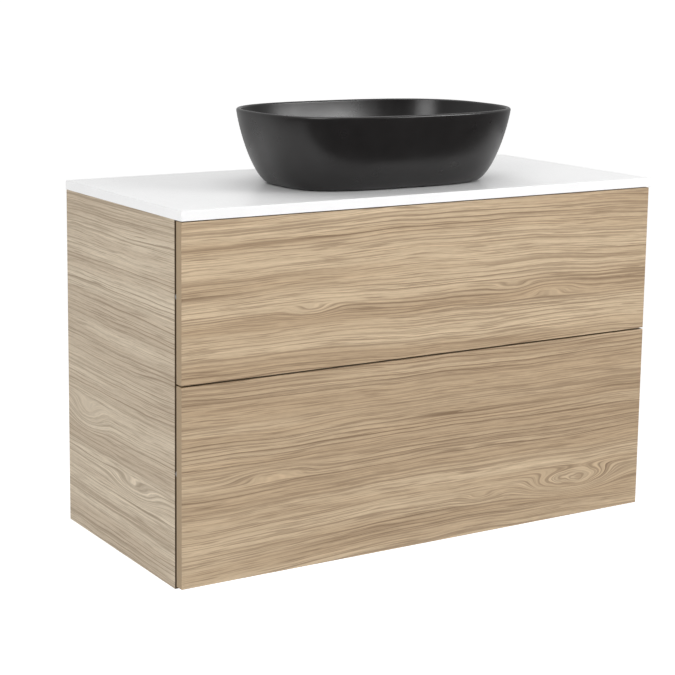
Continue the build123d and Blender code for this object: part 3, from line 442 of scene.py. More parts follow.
# Chromed brass: polished before plating, so only faint wipe marks break the mirror.
chrome, tree, shader = new_material("chrome_plated_brass", Roughness=0.07, Metallic=1.0)
tint_by(tree, shader, grain_of(tree, 40.0), "#DADDE0", "#E2E3E4")
gloss_by(tree, shader, grain_of(tree, 9.0, 4.0), 0.04, 0.13)
print("metals ready")

# %% Plastics and rubbers
# Moulded ABS: spark-eroded mould faces leave a fine even grain that kills the gloss.
grey_abs, tree, shader = new_material("moulded_grey_abs", Roughness=0.5)
eroded = grain_of(tree, 0.5, 2.0)
tint_by(tree, shader, grain_of(tree, 25.0), "#999B9D", "#A3A5A7")
gloss_by(tree, shader, eroded, 0.42, 0.6)
relief(tree, shader, eroded, 0.03)

# Soft moulded elastomer: dull, with a slight bloom that lightens it in patches.
soft_tip, tree, shader = new_material("soft_moulded_elastomer", Roughness=0.65)
tint_by(tree, shader, grain_of(tree, 1.5, 3.0), "#C3C4C5", "#CFCFCE")
gloss_by(tree, shader, grain_of(tree, 1.0), 0.55, 0.75)

# Silicone bead: smoothed with a wet finger, so it is glossy with soft waves along it.
silicone, tree, shader = new_material("smoothed_silicone_bead", Roughness=0.35)
tint_by(tree, shader, grain_of(tree, 8.0), "#1A1A1A", "#222222")
relief(tree, shader, grain_of(tree, 6.0, 1.0), 0.1)

# EPDM rubber: cut from sheet, matt, with a pale mineral bloom.
rubber, tree, shader = new_material("cut_epdm_rubber", Roughness=0.75)
bloom = grain_of(tree, 1.2, 4.0)
tint_by(tree, shader, bloom, "#1F1F1F", "#2B2B2A")
relief(tree, shader, bloom, 0.04)
print("plastics and rubbers ready")

# %% Put the finishes on the frame's parts
FINISH_OF_SLOT = {
    "wood_decor": side_wood,
    "carcass_board": inner_wood,
    "drawer_board": pale_board,
    "worktop_laminate": worktop_white,
    "black_ceramic": glaze,
    "zinc_steel": zinc,
    "ball_steel": bearing,
    "cam_zinc": die_cast,
    "beech": beech,
    "grey_plastic": grey_abs,
    "soft_tip": soft_tip,
    "silicone": silicone,
    "black_rubber": rubber,
    "chrome": chrome,
}
slot_of_node = {part["node"]: part["material_slot"] for part in frame["record"]["subparts"]}
for node, part in frame["nodes"].items():
    finish = FINISH_OF_SLOT[slot_of_node[node]]
    finish = {"upper_drawer_front": upper_wood, "lower_drawer_front": lower_wood}.get(node, finish)
    for place in part.material_slots:
        place.material = finish
print("finishes on", len(frame["nodes"]), "parts")

# %% [markdown]
# ## Pieces made by rule
# A Geometry Nodes tree is a recipe: the sizes are its inputs, and one recipe serves every piece of the
# same kind. The recipe runs as a modifier, and its result is then turned into a plain mesh, because the
# exporter doesn't know instances. The next cell holds the steps that all these recipes share.


# %% Recipe helpers
def new_recipe(name, sizes):
    """A geometry tree with named inputs. Returns the tree, the input geometry and the size sockets."""
    recipe = bpy.data.node_groups.new(name, "GeometryNodeTree")
    recipe.interface.new_socket("Geometry", in_out="INPUT", socket_type="NodeSocketGeometry")
    for size in sizes:
        recipe.interface.new_socket(size, in_out="INPUT", socket_type="NodeSocketFloat")
    recipe.interface.new_socket("Geometry", in_out="OUTPUT", socket_type="NodeSocketGeometry")
    inputs = recipe.nodes.new("NodeGroupInput").outputs
    return recipe, inputs["Geometry"], {size: inputs[size] for size in sizes}


def end_recipe(recipe, geometry, material=None):
    """Realizes the instances, gives the finish and ends the tree."""
    whole = add(recipe, "GeometryNodeRealizeInstances", {0: geometry})
    if material:
        whole = add(recipe, "GeometryNodeSetMaterial", {0: whole, "Material": material})
    add(recipe, "NodeGroupOutput", {0: whole})


def join(recipe, parts):
    """Joins meshes in one node, linked from the last of them to the first."""
    joined = add(recipe, "GeometryNodeJoinGeometry")
    for part in reversed(parts):
        recipe.links.new(part, joined.inputs[0])
    return joined.outputs[0]


def end_closed_skin(recipe, zones, material):
    """Joins the zones of a skin along their shared edges and ends the tree."""
    welded = add(recipe, "GeometryNodeMergeByDistance", {0: join(recipe, zones), "Distance": 0.01 * MM})
    end_recipe(recipe, welded, material)


def run_recipe(name, recipe, sizes, start=None):
    """Runs a recipe on a starting mesh and returns the result as a plain mesh object."""
    seed_mesh = start or bpy.data.meshes.new(name + "_start")
    worker = new_object(name + "_worker", seed_mesh)
    modifier = worker.modifiers.new("recipe", "NODES")
    modifier.node_group = recipe
    for item in recipe.interface.items_tree:
        if item.in_out == "INPUT" and item.name in sizes:
            modifier[item.identifier] = float(sizes[item.name])
    evaluated = worker.evaluated_get(bpy.context.evaluated_depsgraph_get())
    mesh = bpy.data.meshes.new_from_object(evaluated)
    mesh.name = name
    bpy.data.objects.remove(worker)
    return new_object(name, mesh)


def mend(piece, smooth_below):
    """Joins doubled points, turns the faces outwards and smooths all but the sharp edges. Returns the
    number of open edges."""
    shell = bmesh.new()
    shell.from_mesh(piece.data)
    bmesh.ops.remove_doubles(shell, verts=shell.verts, dist=2e-6)
    bmesh.ops.recalc_face_normals(shell, faces=shell.faces)
    open_edges = sum(1 for edge in shell.edges if len(edge.link_faces) != 2)
    for edge in shell.edges:
        edge.smooth = len(edge.link_faces) == 2 and edge.calc_face_angle(0) < math.radians(smooth_below)
    for face in shell.faces:
        face.smooth = True
    shell.to_mesh(piece.data)
    shell.free()
    return open_edges


def body_of_node(node):
    """The body that carries a node of the frame."""
    return body_of(frame["nodes"][node])[0]


def put_in_place(piece, node, smooth_below):
    """Mends a piece and puts it in the place of a node, on its body. Returns the number of
    open edges."""
    open_edges = mend(piece, smooth_below)
    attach(piece, body_of_node(node))
    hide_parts(node)
    return open_edges


print("body of the basin:", body_of_node("basin"))

# %% [markdown]
# ## The basin
# The basin is slip-cast vitreous china with a black glaze: a rounded oblong whose wall flares out from a
# small foot, thin at the rim, with a bowl that falls steeply to a gently rounded floor. It could be
# carved by subdivision, but its outlines are one family of curves, superellipses, whose size and
# squareness change with height. So it is made by rule: each zone of the section, such as the outer wall,
# the rim or the bowl, is a grid wrapped round the centre line, and the zones join into one closed skin.

# %% Sizes of the basin, read from the frame
low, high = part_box("basin")
foot_level, rim_level = low[2], high[2]
basin_width, basin_depth = high[0] - low[0], high[1] - low[1]
basin_middle = (low[1] + high[1]) / 2
BASIN_SIZES = {
    "Rim Width": basin_width,
    "Rim Depth": basin_depth,
    "Foot Width": basin_width - 114 * MM,
    "Foot Depth": basin_depth - 126 * MM,
    "Height": rim_level - foot_level,
    "Foot Level": foot_level,
    "Middle": basin_middle,
    "Wall": 8 * MM,
    "Floor Thickness": 18 * MM,
    "Bowl Floor Width": 235 * MM,
    "Bowl Floor Depth": 140 * MM,
    "Foot Ring": 24 * MM,
    "Foot Recess": 6 * MM,
    "Drain Seat Radius": 33 * MM,
    "Drain Seat Depth": 4 * MM,
    "Drain Hole Radius": 22.5 * MM,
}
print("basin", round(basin_width / MM), "x", round(basin_depth / MM), "x",
      round((rim_level - foot_level) / MM), "mm")

# %% The recipe of the basin
AROUND = 200  # points round every outline
RIM_ROUNDNESS = 2.75  # superellipse exponents: 2 is an ellipse, more is squarer
FOOT_ROUNDNESS = 3.1
WALL_FLARE = (1.2, 1.6)  # exponents of the outer wall's curve from foot to rim
CROWDING = 1.7  # the outer wall's rows crowd towards the foot, where it curves most
BOWL_CURVE = 3.4

recipe, _, size = new_recipe("basin by rule", list(BASIN_SIZES))


def halved(name):
    """Half of a named size."""
    return add(recipe, MATH, {0: size[name], 1: 0.5}, operation="MULTIPLY")


def between(first, second, share):
    """Straight blend from first to second."""
    way = add(recipe, MATH, {0: second, 1: first}, operation="SUBTRACT")
    return add(recipe, MATH, {0: way, 1: share, 2: first}, operation="MULTIPLY_ADD")


def zone(rows, shape):
    """A grid wrapped round the centre line. shape gives half sizes, roundness and level along it."""
    grid = add(recipe, "GeometryNodeMeshGrid", {0: 1.0, 1: 1.0, 2: AROUND + 1, 3: rows})
    place = add(recipe, "GeometryNodeInputPosition")
    flat = add(recipe, "ShaderNodeSeparateXYZ", {0: place}).outputs
    angle = add(recipe, MATH, {0: flat["X"], 1: 2 * math.pi}, operation="MULTIPLY")
    along = add(recipe, MATH, {0: flat["Y"], 1: 0.5}, operation="ADD")
    half_x, half_y, roundness, level = shape(along)
    power = add(recipe, MATH, {0: 2.0, 1: roundness}, operation="DIVIDE")
    sides = []
    for wave, half in (("COSINE", half_x), ("SINE", half_y)):
        value = add(recipe, MATH, {0: angle}, operation=wave)
        unsigned = add(recipe, MATH, {0: value}, operation="ABSOLUTE")
        sign = add(recipe, MATH, {0: value}, operation="SIGN")
        reach = add(recipe, MATH, {0: unsigned, 1: power}, operation="POWER")
        signed = add(recipe, MATH, {0: reach, 1: sign}, operation="MULTIPLY")
        sides.append(add(recipe, MATH, {0: signed, 1: half}, operation="MULTIPLY"))
    forward = add(recipe, MATH, {0: sides[1], 1: size["Middle"]}, operation="ADD")
    place = add(recipe, "ShaderNodeCombineXYZ", {0: sides[0], 1: forward, 2: level})
    return add(recipe, "GeometryNodeSetPosition", {0: grid, 2: place}).outputs[0]


def wall_half(share):
    """Half sizes of the outer wall at a share of the height."""
    left = add(recipe, MATH, {0: 1.0, 1: share}, operation="SUBTRACT")
    grow = add(recipe, MATH, {0: left, 1: WALL_FLARE[0]}, operation="POWER")
    grow = add(recipe, MATH, {0: 1.0, 1: grow}, operation="SUBTRACT")
    grow = add(recipe, MATH, {0: grow, 1: 1 / WALL_FLARE[1]}, operation="POWER")
    return [between(halved("Foot " + side), halved("Rim " + side), grow) for side in ("Width", "Depth")]


lip = halved("Wall")  # radius of the rounded rim
lip_share = add(recipe, MATH, {0: lip, 1: size["Height"]}, operation="DIVIDE")
top_share = add(recipe, MATH, {0: 1.0, 1: lip_share}, operation="SUBTRACT")
top_roundness = between(FOOT_ROUNDNESS, RIM_ROUNDNESS, top_share)


def level_at(share):
    """The level at a share of the height."""
    return add(recipe, MATH, {0: size["Height"], 1: share, 2: size["Foot Level"]},
               operation="MULTIPLY_ADD")


def outer_wall(along):
    """From the foot's edge up to the rim."""
    share = add(recipe, MATH, {0: along, 1: CROWDING}, operation="POWER")
    share = add(recipe, MATH, {0: share, 1: top_share}, operation="MULTIPLY")
    half_x, half_y = wall_half(share)
    return half_x, half_y, between(FOOT_ROUNDNESS, RIM_ROUNDNESS, share), level_at(share)


def rim(along):
    """Half a turn over the top, from the outer wall to the bowl."""
    half_x, half_y = wall_half(top_share)
    turned = add(recipe, MATH, {0: along, 1: math.pi}, operation="MULTIPLY")
    back = add(recipe, MATH, {0: turned}, operation="COSINE")
    back = add(recipe, MATH, {0: 1.0, 1: back}, operation="SUBTRACT")
    inset = add(recipe, MATH, {0: back, 1: lip}, operation="MULTIPLY")
    rise = add(recipe, MATH, {0: turned}, operation="SINE")
    level = add(recipe, MATH, {0: rise, 1: lip, 2: level_at(top_share)}, operation="MULTIPLY_ADD")
    half_x = add(recipe, MATH, {0: half_x, 1: inset}, operation="SUBTRACT")
    half_y = add(recipe, MATH, {0: half_y, 1: inset}, operation="SUBTRACT")
    return half_x, half_y, top_roundness, level


def bowl(along):
    """From below the rim to the bowl's floor, a quarter of a superellipse in section."""
    turned = add(recipe, MATH, {0: 1.0, 1: along}, operation="SUBTRACT")
    turned = add(recipe, MATH, {0: turned, 1: math.pi / 2}, operation="MULTIPLY")
    across = add(recipe, MATH, {0: turned}, operation="SINE")
    across = add(recipe, MATH, {0: across, 1: 2 / BOWL_CURVE}, operation="POWER")
    down = add(recipe, MATH, {0: turned}, operation="COSINE")
    down = add(recipe, MATH, {0: down, 1: 2 / BOWL_CURVE}, operation="POWER")
    floor_share = add(recipe, MATH, {0: size["Floor Thickness"], 1: size["Height"]}, operation="DIVIDE")
    share = between(top_share, floor_share, down)
    halves = []
    for side, wall in zip(("Width", "Depth"), wall_half(share)):
        inner = add(recipe, MATH, {0: wall, 1: size["Wall"]}, operation="SUBTRACT")
        halves.append(between(halved("Bowl Floor " + side), inner, across))
    return halves[0], halves[1], top_roundness, level_at(share)


floor_top = add(recipe, MATH, {0: size["Foot Level"], 1: size["Floor Thickness"]}, operation="ADD")
seat_top = add(recipe, MATH, {0: floor_top, 1: size["Drain Seat Depth"]}, operation="SUBTRACT")
recess_top = add(recipe, MATH, {0: size["Foot Level"], 1: size["Foot Recess"]}, operation="ADD")
ring_x = add(recipe, MATH, {0: halved("Foot Width"), 1: size["Foot Ring"]}, operation="SUBTRACT")
ring_y = add(recipe, MATH, {0: halved("Foot Depth"), 1: size["Foot Ring"]}, operation="SUBTRACT")
seat, hole = size["Drain Seat Radius"], size["Drain Hole Radius"]
# Rings of the floor, the drain and the underside: half width, half depth, roundness, level, and the
# rows from this ring to the next.
FLAT_RINGS = [
    (halved("Bowl Floor Width"), halved("Bowl Floor Depth"), top_roundness, floor_top, 14),
    (seat, seat, 2.0, floor_top, 2),
    (seat, seat, 2.0, seat_top, 2),
    (hole, hole, 2.0, seat_top, 2),
    (hole, hole, 2.0, recess_top, 12),
    (ring_x, ring_y, FOOT_ROUNDNESS, recess_top, 2),
    (ring_x, ring_y, FOOT_ROUNDNESS, size["Foot Level"], 2),
    (halved("Foot Width"), halved("Foot Depth"), FOOT_ROUNDNESS, size["Foot Level"], 0),
]


def ring_to_ring(first, second):
    """The shape of the skin between two rings."""
    return lambda along: tuple(between(a, b, along) for a, b in zip(first[:4], second[:4]))


zones = [zone(40, outer_wall), zone(13, rim), zone(48, bowl)]
for first, second in zip(FLAT_RINGS, FLAT_RINGS[1:]):
    zones.append(zone(first[4], ring_to_ring(first, second)))
end_closed_skin(recipe, zones, glaze)

basin = run_recipe("vessel_basin", recipe, BASIN_SIZES)
open_edges = put_in_place(basin, "basin", 50)
print("basin: faces", len(basin.data.polygons), "open edges", open_edges)

# %% [markdown]
# ## Finding the small parts
# Screws, dowels and ball cages come in groups: one node holds many separate solids. To put a finer
# piece at each, the next cell walks over a copy of the node's mesh, joins its loose triangles and lists
# the box of every separate solid, so that each place and size still comes from the frame.


# %% Boxes of the separate solids of a node
def solids_of(node):
    """(low corner, high corner, points) of every separate solid of a node, in metres."""
    shell = bmesh.new()
    shell.from_mesh(frame["nodes"][node].data)
    bmesh.ops.remove_doubles(shell, verts=shell.verts, dist=2e-6)
    left, found = set(shell.verts), []
    while left:
        group, edge = set(), [left.pop()]
        while edge:
            point = edge.pop()
            group.add(point)
            near = {other.other_vert(point) for other in point.link_edges} & left
            left -= near
            edge.extend(near)
        places = [point.co.copy() for point in group]
        found.append(([min(p[i] for p in places) for i in range(3)],
                      [max(p[i] for p in places) for i in range(3)], places))
    shell.free()
    return sorted(found, key=lambda solid: [round(v, 5) for v in solid[0]])


def middle_of(low, high):
    """The middle of a box."""
    return [(a + b) / 2 for a, b in zip(low, high)]


def head_seat(low, high, places):
    """Where a screw's head ends in free air, which way the screw points, and its head's width, its
    head's height and its whole length. The head is where the points lie farthest off the axis."""
    axis = max(range(3), key=lambda i: high[i] - low[i])  # a screw is longest along its axis
    middle = middle_of(low, high)
    others = [i for i in range(3) if i != axis]
    off_axis = [math.dist([p[i] for i in others], [middle[i] for i in others]) for p in places]
    reach = max(off_axis)
    wide = [p[axis] for p, distance in zip(places, off_axis) if distance > 0.9 * reach]
    at_low = sum(wide) / len(wide) < middle[axis]
    start = list(middle)
    start[axis] = low[axis] if at_low else high[axis]
    aim = [0.0, 0.0, 0.0]
    aim[axis] = 1.0 if at_low else -1.0
    return start, aim, 2 * reach, max(abs(v - start[axis]) for v in wide), high[axis] - low[axis]


def starting_points(name, places, aims):
    """A mesh of loose points, each with the direction in which its piece points."""
    mesh = bpy.data.meshes.new(name)
    mesh.from_pydata(places, [], [])
    aim = mesh.attributes.new("aim", "FLOAT_VECTOR", "POINT")
    for i, direction in enumerate(aims):
        aim.data[i].vector = direction
    return mesh


print("separate solids:", {n: len(solids_of(n)) for n in ("cabinet_screws", "carcass_dowels")})

# %% [markdown]
# ## Screws
# The screws are cold-headed from wire and thread-rolled: a domed pan head with a cross recess, and a
# thread that winds down to a point. A lathe-like rule fits: a tube of rings whose radius depends on the
# way down and, along the thread, on the angle too, which makes the ridge wind. The cross is cut out
# once, and the finished screw is then put at every screw's place.

# %% The recipe of a screw
SCREW_SIDES = 14
SCREW_RINGS = 74
SCREW_SIZES = ["Head Radius", "Head Height", "Shank Radius", "Length", "Pitch", "Recess Width"]
DOME_FLAT, DOME_RISE = 0.58, 0.42  # shares of the head's radius: the flat on top, and the dome round it
THREAD_FLOOR, THREAD_RISE = 0.7, 0.6  # in shank radii: the groove, and twice the ridge above it
POINT_LENGTH = 2.2  # the point's length, in shank radii
POINT_TIP = 0.08  # what is left of the radius at the tip

recipe, screw_points, size = new_recipe("cross-head screw", SCREW_SIZES)
tube = add(recipe, "GeometryNodeMeshCylinder", {0: SCREW_SIDES, 1: SCREW_RINGS, 3: 1.0, 4: size["Length"]})
place = add(recipe, "GeometryNodeInputPosition")
flat = add(recipe, "ShaderNodeSeparateXYZ", {0: place}).outputs
down = add(recipe, MATH, {0: size["Length"], 1: 0.5, 2: flat["Z"]}, operation="MULTIPLY_ADD")
angle = add(recipe, MATH, {0: flat["Y"], 1: flat["X"]}, operation="ARCTAN2")
# The head: a dome over its height.
in_head_share = add(recipe, MATH, {0: down, 1: size["Head Height"]}, operation="DIVIDE")
rise = add(recipe, MATH, {0: 1.0, 1: in_head_share}, operation="SUBTRACT")
dome = add(recipe, MATH, {0: rise, 1: 2.0}, operation="POWER")
dome = add(recipe, MATH, {0: 1.0, 1: dome}, operation="SUBTRACT")
dome = add(recipe, MATH, {0: dome, 1: 0.0}, operation="MAXIMUM")
dome = add(recipe, MATH, {0: dome}, operation="SQRT")
dome = add(recipe, MATH, {0: dome, 1: DOME_RISE, 2: DOME_FLAT}, operation="MULTIPLY_ADD")
head = add(recipe, MATH, {0: dome, 1: size["Head Radius"]}, operation="MULTIPLY")
# The thread: a ridge that moves round by one turn per pitch, and fades into the point.
turns = add(recipe, MATH, {0: down, 1: size["Pitch"]}, operation="DIVIDE")
wound = add(recipe, MATH, {0: angle, 1: -1 / (2 * math.pi), 2: turns}, operation="MULTIPLY_ADD")
ridge = add(recipe, MATH, {0: wound, 1: 0.5}, operation="PINGPONG")
ridge = add(recipe, MATH, {0: ridge, 1: THREAD_RISE, 2: THREAD_FLOOR}, operation="MULTIPLY_ADD")
left = add(recipe, MATH, {0: size["Length"], 1: down}, operation="SUBTRACT")
point_length = add(recipe, MATH, {0: size["Shank Radius"], 1: POINT_LENGTH}, operation="MULTIPLY")
point = add(recipe, MATH, {0: left, 1: point_length}, operation="DIVIDE")
point = add(recipe, MATH, {0: point, 1: POINT_TIP}, operation="MAXIMUM")
point = add(recipe, MATH, {0: point, 1: 1.0}, operation="MINIMUM")
shank = add(recipe, MATH, {0: ridge, 1: point}, operation="MULTIPLY")
shank = add(recipe, MATH, {0: shank, 1: size["Shank Radius"]}, operation="MULTIPLY")
in_head = add(recipe, MATH, {0: down, 1: size["Head Height"]}, operation="LESS_THAN")
radius = add(recipe, "ShaderNodeMix", {"Factor": in_head, 2: shank, 3: head})
x, y = [add(recipe, MATH, {0: flat[name], 1: radius}, operation="MULTIPLY") for name in "XY"]
place = add(recipe, "ShaderNodeCombineXYZ", {0: x, 1: y, 2: down})
turned = add(recipe, "GeometryNodeSetPosition", {0: tube, 2: place})
# The cross recess: two crossed bars let into the head.
recess_depth = add(recipe, MATH, {0: size["Head Height"], 1: 1.3}, operation="MULTIPLY")
cross_length = add(recipe, MATH, {0: size["Head Radius"], 1: 1.05}, operation="MULTIPLY")
bars = []
for wide, deep in ((cross_length, size["Recess Width"]), (size["Recess Width"], cross_length)):
    sides = add(recipe, "ShaderNodeCombineXYZ", {0: wide, 1: deep, 2: recess_depth})
    bars.append(add(recipe, "GeometryNodeMeshCube", {0: sides}).outputs[0])
headed = add(recipe, "GeometryNodeMeshBoolean",
             {0: turned, 1: join(recipe, bars), "Self Intersection": True}, operation="DIFFERENCE",
             solver="EXACT")
aim = add(recipe, "GeometryNodeInputNamedAttribute", {0: "aim"}, data_type="FLOAT_VECTOR")
facing = add(recipe, "FunctionNodeAlignRotationToVector", {"Vector": aim}, axis="Z")
placed = add(recipe, "GeometryNodeInstanceOnPoints", {0: screw_points, 2: headed, "Rotation": facing})
end_recipe(recipe, placed, zinc)
print("screw recipe:", len(recipe.nodes), "nodes")

# %% Screws in place of the plain ones
# By the width of the head, in millimetres: heads wider than this, the shank's radius, the pitch.
SHANKS = ((8.2, 2.9, 1.9), (7.0, 2.0, 1.5), (0.0, 1.75, 1.5))
RECESS_WIDTH = 0.9 * MM

for node in ("cabinet_screws", "worktop_screws", "upper_drawer_screws", "lower_drawer_screws"):
    seats = [head_seat(*solid) for solid in solids_of(node)]
    kind_of_seat = [tuple(round(v, 4) for v in seat[2:]) for seat in seats]
    kinds = sorted(set(kind_of_seat))
    kind_pieces = []
    for kind in kinds:
        same = [seat for seat, its_kind in zip(seats, kind_of_seat) if its_kind == kind]
        start = starting_points(node, [s[0] for s in same], [s[1] for s in same])
        width, height, length = kind
        shank, pitch = next((radius, pitch) for wider, radius, pitch in SHANKS if width > wider * MM)
        sizes = {"Head Radius": width / 2, "Head Height": height, "Shank Radius": shank * MM,
                 "Length": length, "Pitch": pitch * MM, "Recess Width": RECESS_WIDTH}
        kind_pieces.append(run_recipe(f"{node}_kind", recipe, sizes, start))
    shell = bmesh.new()
    for piece in kind_pieces:
        shell.from_mesh(piece.data)
    bmesh.ops.recalc_face_normals(shell, faces=shell.faces)
    mesh = bpy.data.meshes.new(node + "_threaded")
    shell.to_mesh(mesh)
    shell.free()
    mesh.materials.append(zinc)
    for piece in kind_pieces:
        bpy.data.objects.remove(piece)
    open_edges = put_in_place(new_object(node + "_threaded", mesh), node, 35)
    print(node, "kinds (mm)", [[round(v / MM, 1) for v in kind] for kind in kinds], "screws", len(seats),
          "faces", len(mesh.polygons), "open edges", open_edges)

# %% [markdown]
# ## Dowels
# The dowels are beech, fluted so that glue can rise along them, with chamfered ends. The rule is again
# a tube of rings: the flutes are a wave round it, and the ends draw in over the chamfer.

# %% The recipe of a fluted dowel
DOWEL_SIZES = ["Radius", "Length", "Chamfer", "Flute Depth"]
FLUTES = 12

recipe, dowel_points, size = new_recipe("fluted dowel", DOWEL_SIZES)
tube = add(recipe, "GeometryNodeMeshCylinder", {0: FLUTES * 4, 1: 24, 3: 1.0, 4: size["Length"]})
place = add(recipe, "GeometryNodeInputPosition")
flat = add(recipe, "ShaderNodeSeparateXYZ", {0: place}).outputs
angle = add(recipe, MATH, {0: flat["Y"], 1: flat["X"]}, operation="ARCTAN2")
angle = add(recipe, MATH, {0: angle, 1: FLUTES}, operation="MULTIPLY")
wave = add(recipe, MATH, {0: angle}, operation="COSINE")
wave = add(recipe, MATH, {0: wave, 1: 0.5, 2: -0.5}, operation="MULTIPLY_ADD")  # from -1 to 0
radius = add(recipe, MATH, {0: wave, 1: size["Flute Depth"], 2: size["Radius"]}, operation="MULTIPLY_ADD")
# The ends: the last millimetres draw in by as much as they are short of the chamfer.
from_middle = add(recipe, MATH, {0: flat["Z"]}, operation="ABSOLUTE")
to_end = add(recipe, MATH, {0: halved("Length"), 1: from_middle}, operation="SUBTRACT")
inset = add(recipe, MATH, {0: size["Chamfer"], 1: to_end}, operation="SUBTRACT")
inset = add(recipe, MATH, {0: inset, 1: 0.0}, operation="MAXIMUM")
radius = add(recipe, MATH, {0: radius, 1: inset}, operation="SUBTRACT")
y, z = [add(recipe, MATH, {0: flat[name], 1: radius}, operation="MULTIPLY") for name in "XY"]
place = add(recipe, "ShaderNodeCombineXYZ", {0: flat["Z"], 1: y, 2: z})
turned = add(recipe, "GeometryNodeSetPosition", {0: tube, 2: place})
placed = add(recipe, "GeometryNodeInstanceOnPoints", {0: dowel_points, 2: turned})
end_recipe(recipe, placed, beech)

solids = solids_of("carcass_dowels")
middles = [middle_of(low, high) for low, high, _ in solids]
low, high, _ = solids[0]
sizes = {"Radius": (high[1] - low[1]) / 2, "Length": high[0] - low[0], "Chamfer": 1.2 * MM,
         "Flute Depth": 0.35 * MM}
dowels = run_recipe("fluted_dowels", recipe, sizes,
                    starting_points("dowels", middles, [(1.0, 0.0, 0.0)] * len(middles)))
open_edges = put_in_place(dowels, "carcass_dowels", 35)
print("dowels", len(middles), "faces", len(dowels.data.polygons), "open edges", open_edges)

# %% [markdown]
# ## Ball cages
# A drawer slide runs on rows of steel balls. A thin pressed strip, the cage, keeps the balls apart and
# rolls along at half the speed of the member that it carries. Each cage is one strip with raised
# collars, and the balls sit in the collars: a ball and a collar are made once and set along the strip.

# %% The recipe of a row of balls in its cage
CAGE_SIZES = ["Cage Length", "Cage Width", "Cage Thickness", "Ball Radius", "Ball Spacing"]
BALLS_PER_ROW = 7

recipe, cage_points, size = new_recipe("balls in a cage", CAGE_SIZES)
first = add(recipe, MATH, {0: size["Ball Spacing"], 1: -(BALLS_PER_ROW - 1) / 2}, operation="MULTIPLY")
start = add(recipe, "ShaderNodeCombineXYZ", {1: first})
offset = add(recipe, "ShaderNodeCombineXYZ", {1: size["Ball Spacing"]})
row = add(recipe, "GeometryNodeMeshLine",
          {"Count": BALLS_PER_ROW, "Start Location": start, "Offset": offset})
ball = add(recipe, "GeometryNodeMeshUVSphere", {0: 20, 1: 12, 2: size["Ball Radius"]})
ball = add(recipe, "GeometryNodeSetMaterial", {0: ball, "Material": bearing})
balls = add(recipe, "GeometryNodeInstanceOnPoints", {0: row, 2: ball}).outputs[0]
sides = add(recipe, "ShaderNodeCombineXYZ",
            {0: size["Cage Width"], 1: size["Cage Length"], 2: size["Cage Thickness"]})
strip = add(recipe, "GeometryNodeMeshCube", {0: sides, 1: 2, 2: 31, 3: 2}).outputs[0]
collar_height = add(recipe, MATH, {0: size["Cage Thickness"], 1: 2.2}, operation="MULTIPLY")
collar = add(recipe, "GeometryNodeMeshCylinder",
             {0: 20, 1: 1, 3: halved("Cage Width"), 4: collar_height})
collars = add(recipe, "GeometryNodeInstanceOnPoints", {0: row, 2: collar}).outputs[0]
pressed = join(recipe, [collars, strip])
pressed = add(recipe, "GeometryNodeSetMaterial", {0: pressed, "Material": zinc}).outputs[0]
one_row = join(recipe, [balls, pressed])
placed = add(recipe, "GeometryNodeInstanceOnPoints", {0: cage_points, 2: one_row})
end_recipe(recipe, placed)

for node in ("upper_outer_ball_cages", "upper_inner_ball_cages", "lower_outer_ball_cages",
             "lower_inner_ball_cages"):
    solids = solids_of(node)
    middles = [middle_of(low, high) for low, high, _ in solids]
    low, high, _ = solids[0]
    length, ball_width = high[1] - low[1], high[2] - low[2]
    sizes = {"Cage Length": length, "Cage Width": 4 * MM, "Cage Thickness": 0.8 * MM,
             "Ball Radius": ball_width / 2, "Ball Spacing": length / BALLS_PER_ROW}
    cages = run_recipe(node + "_with_balls", recipe, sizes,
                       starting_points(node, middles, [(0.0, 1.0, 0.0)] * len(middles)))
    open_edges = put_in_place(cages, node, 35)
    print(node, "rows", len(solids), "ball", round(ball_width / MM, 2), "mm, open edges", open_edges)

# %% [markdown]
# ## The waste
# The waste is turned brass, chromed: a flange with a rolled edge that clamps in the bowl, a long tail
# with a rolled pipe thread that carries the clamping nut and the trap, and a cross inside that guides
# the plug's stem. The flange and the tail are one turned skin, so they are made like the screws, as a
# tube of rings, but hollow: the rings run down the outside and back up the bore. The thread follows the
# angle as it does on a real pipe, and dies out below the flange.

# %% The recipe of the threaded waste
WASTE_SIZES = ["Flange Radius", "Flange Height", "Tail Radius", "Bore Radius", "Top", "Length", "Middle",
               "Pitch", "Thread Depth"]
recipe, _, size = new_recipe("threaded waste", WASTE_SIZES)
AROUND_WASTE = 72  # points round the axis
THREAD_ROWS = 220  # rows down the tail, enough for each turn of the thread to have its slope
THREAD_STARTS = (0.10, 0.13)  # shares of the tail's length between which the thread grows
THREAD_ENDS = (0.985, 0.999)  # and between which it dies out


def waste_skin(rows, shape):
    """A grid wrapped round the waste's axis. shape gives radius and level from the shares along the
    skin and round it."""
    grid = add(recipe, "GeometryNodeMeshGrid", {0: 1.0, 1: 1.0, 2: AROUND_WASTE + 1, 3: rows})
    place = add(recipe, "GeometryNodeInputPosition")
    flat = add(recipe, "ShaderNodeSeparateXYZ", {0: place}).outputs
    angle = add(recipe, MATH, {0: flat["X"], 1: 2 * math.pi}, operation="MULTIPLY")
    along = add(recipe, MATH, {0: flat["Y"], 1: 0.5}, operation="ADD")
    radius, level = shape(along, add(recipe, MATH, {0: flat["X"], 1: 0.5}, operation="ADD"))
    across = add(recipe, MATH, {0: angle}, operation="COSINE")
    across = add(recipe, MATH, {0: across, 1: radius}, operation="MULTIPLY")
    forward = add(recipe, MATH, {0: angle}, operation="SINE")
    forward = add(recipe, MATH, {0: forward, 1: radius, 2: size["Middle"]}, operation="MULTIPLY_ADD")
    place = add(recipe, "ShaderNodeCombineXYZ", {0: across, 1: forward, 2: level})
    return add(recipe, "GeometryNodeSetPosition", {0: grid, 2: place}).outputs[0]


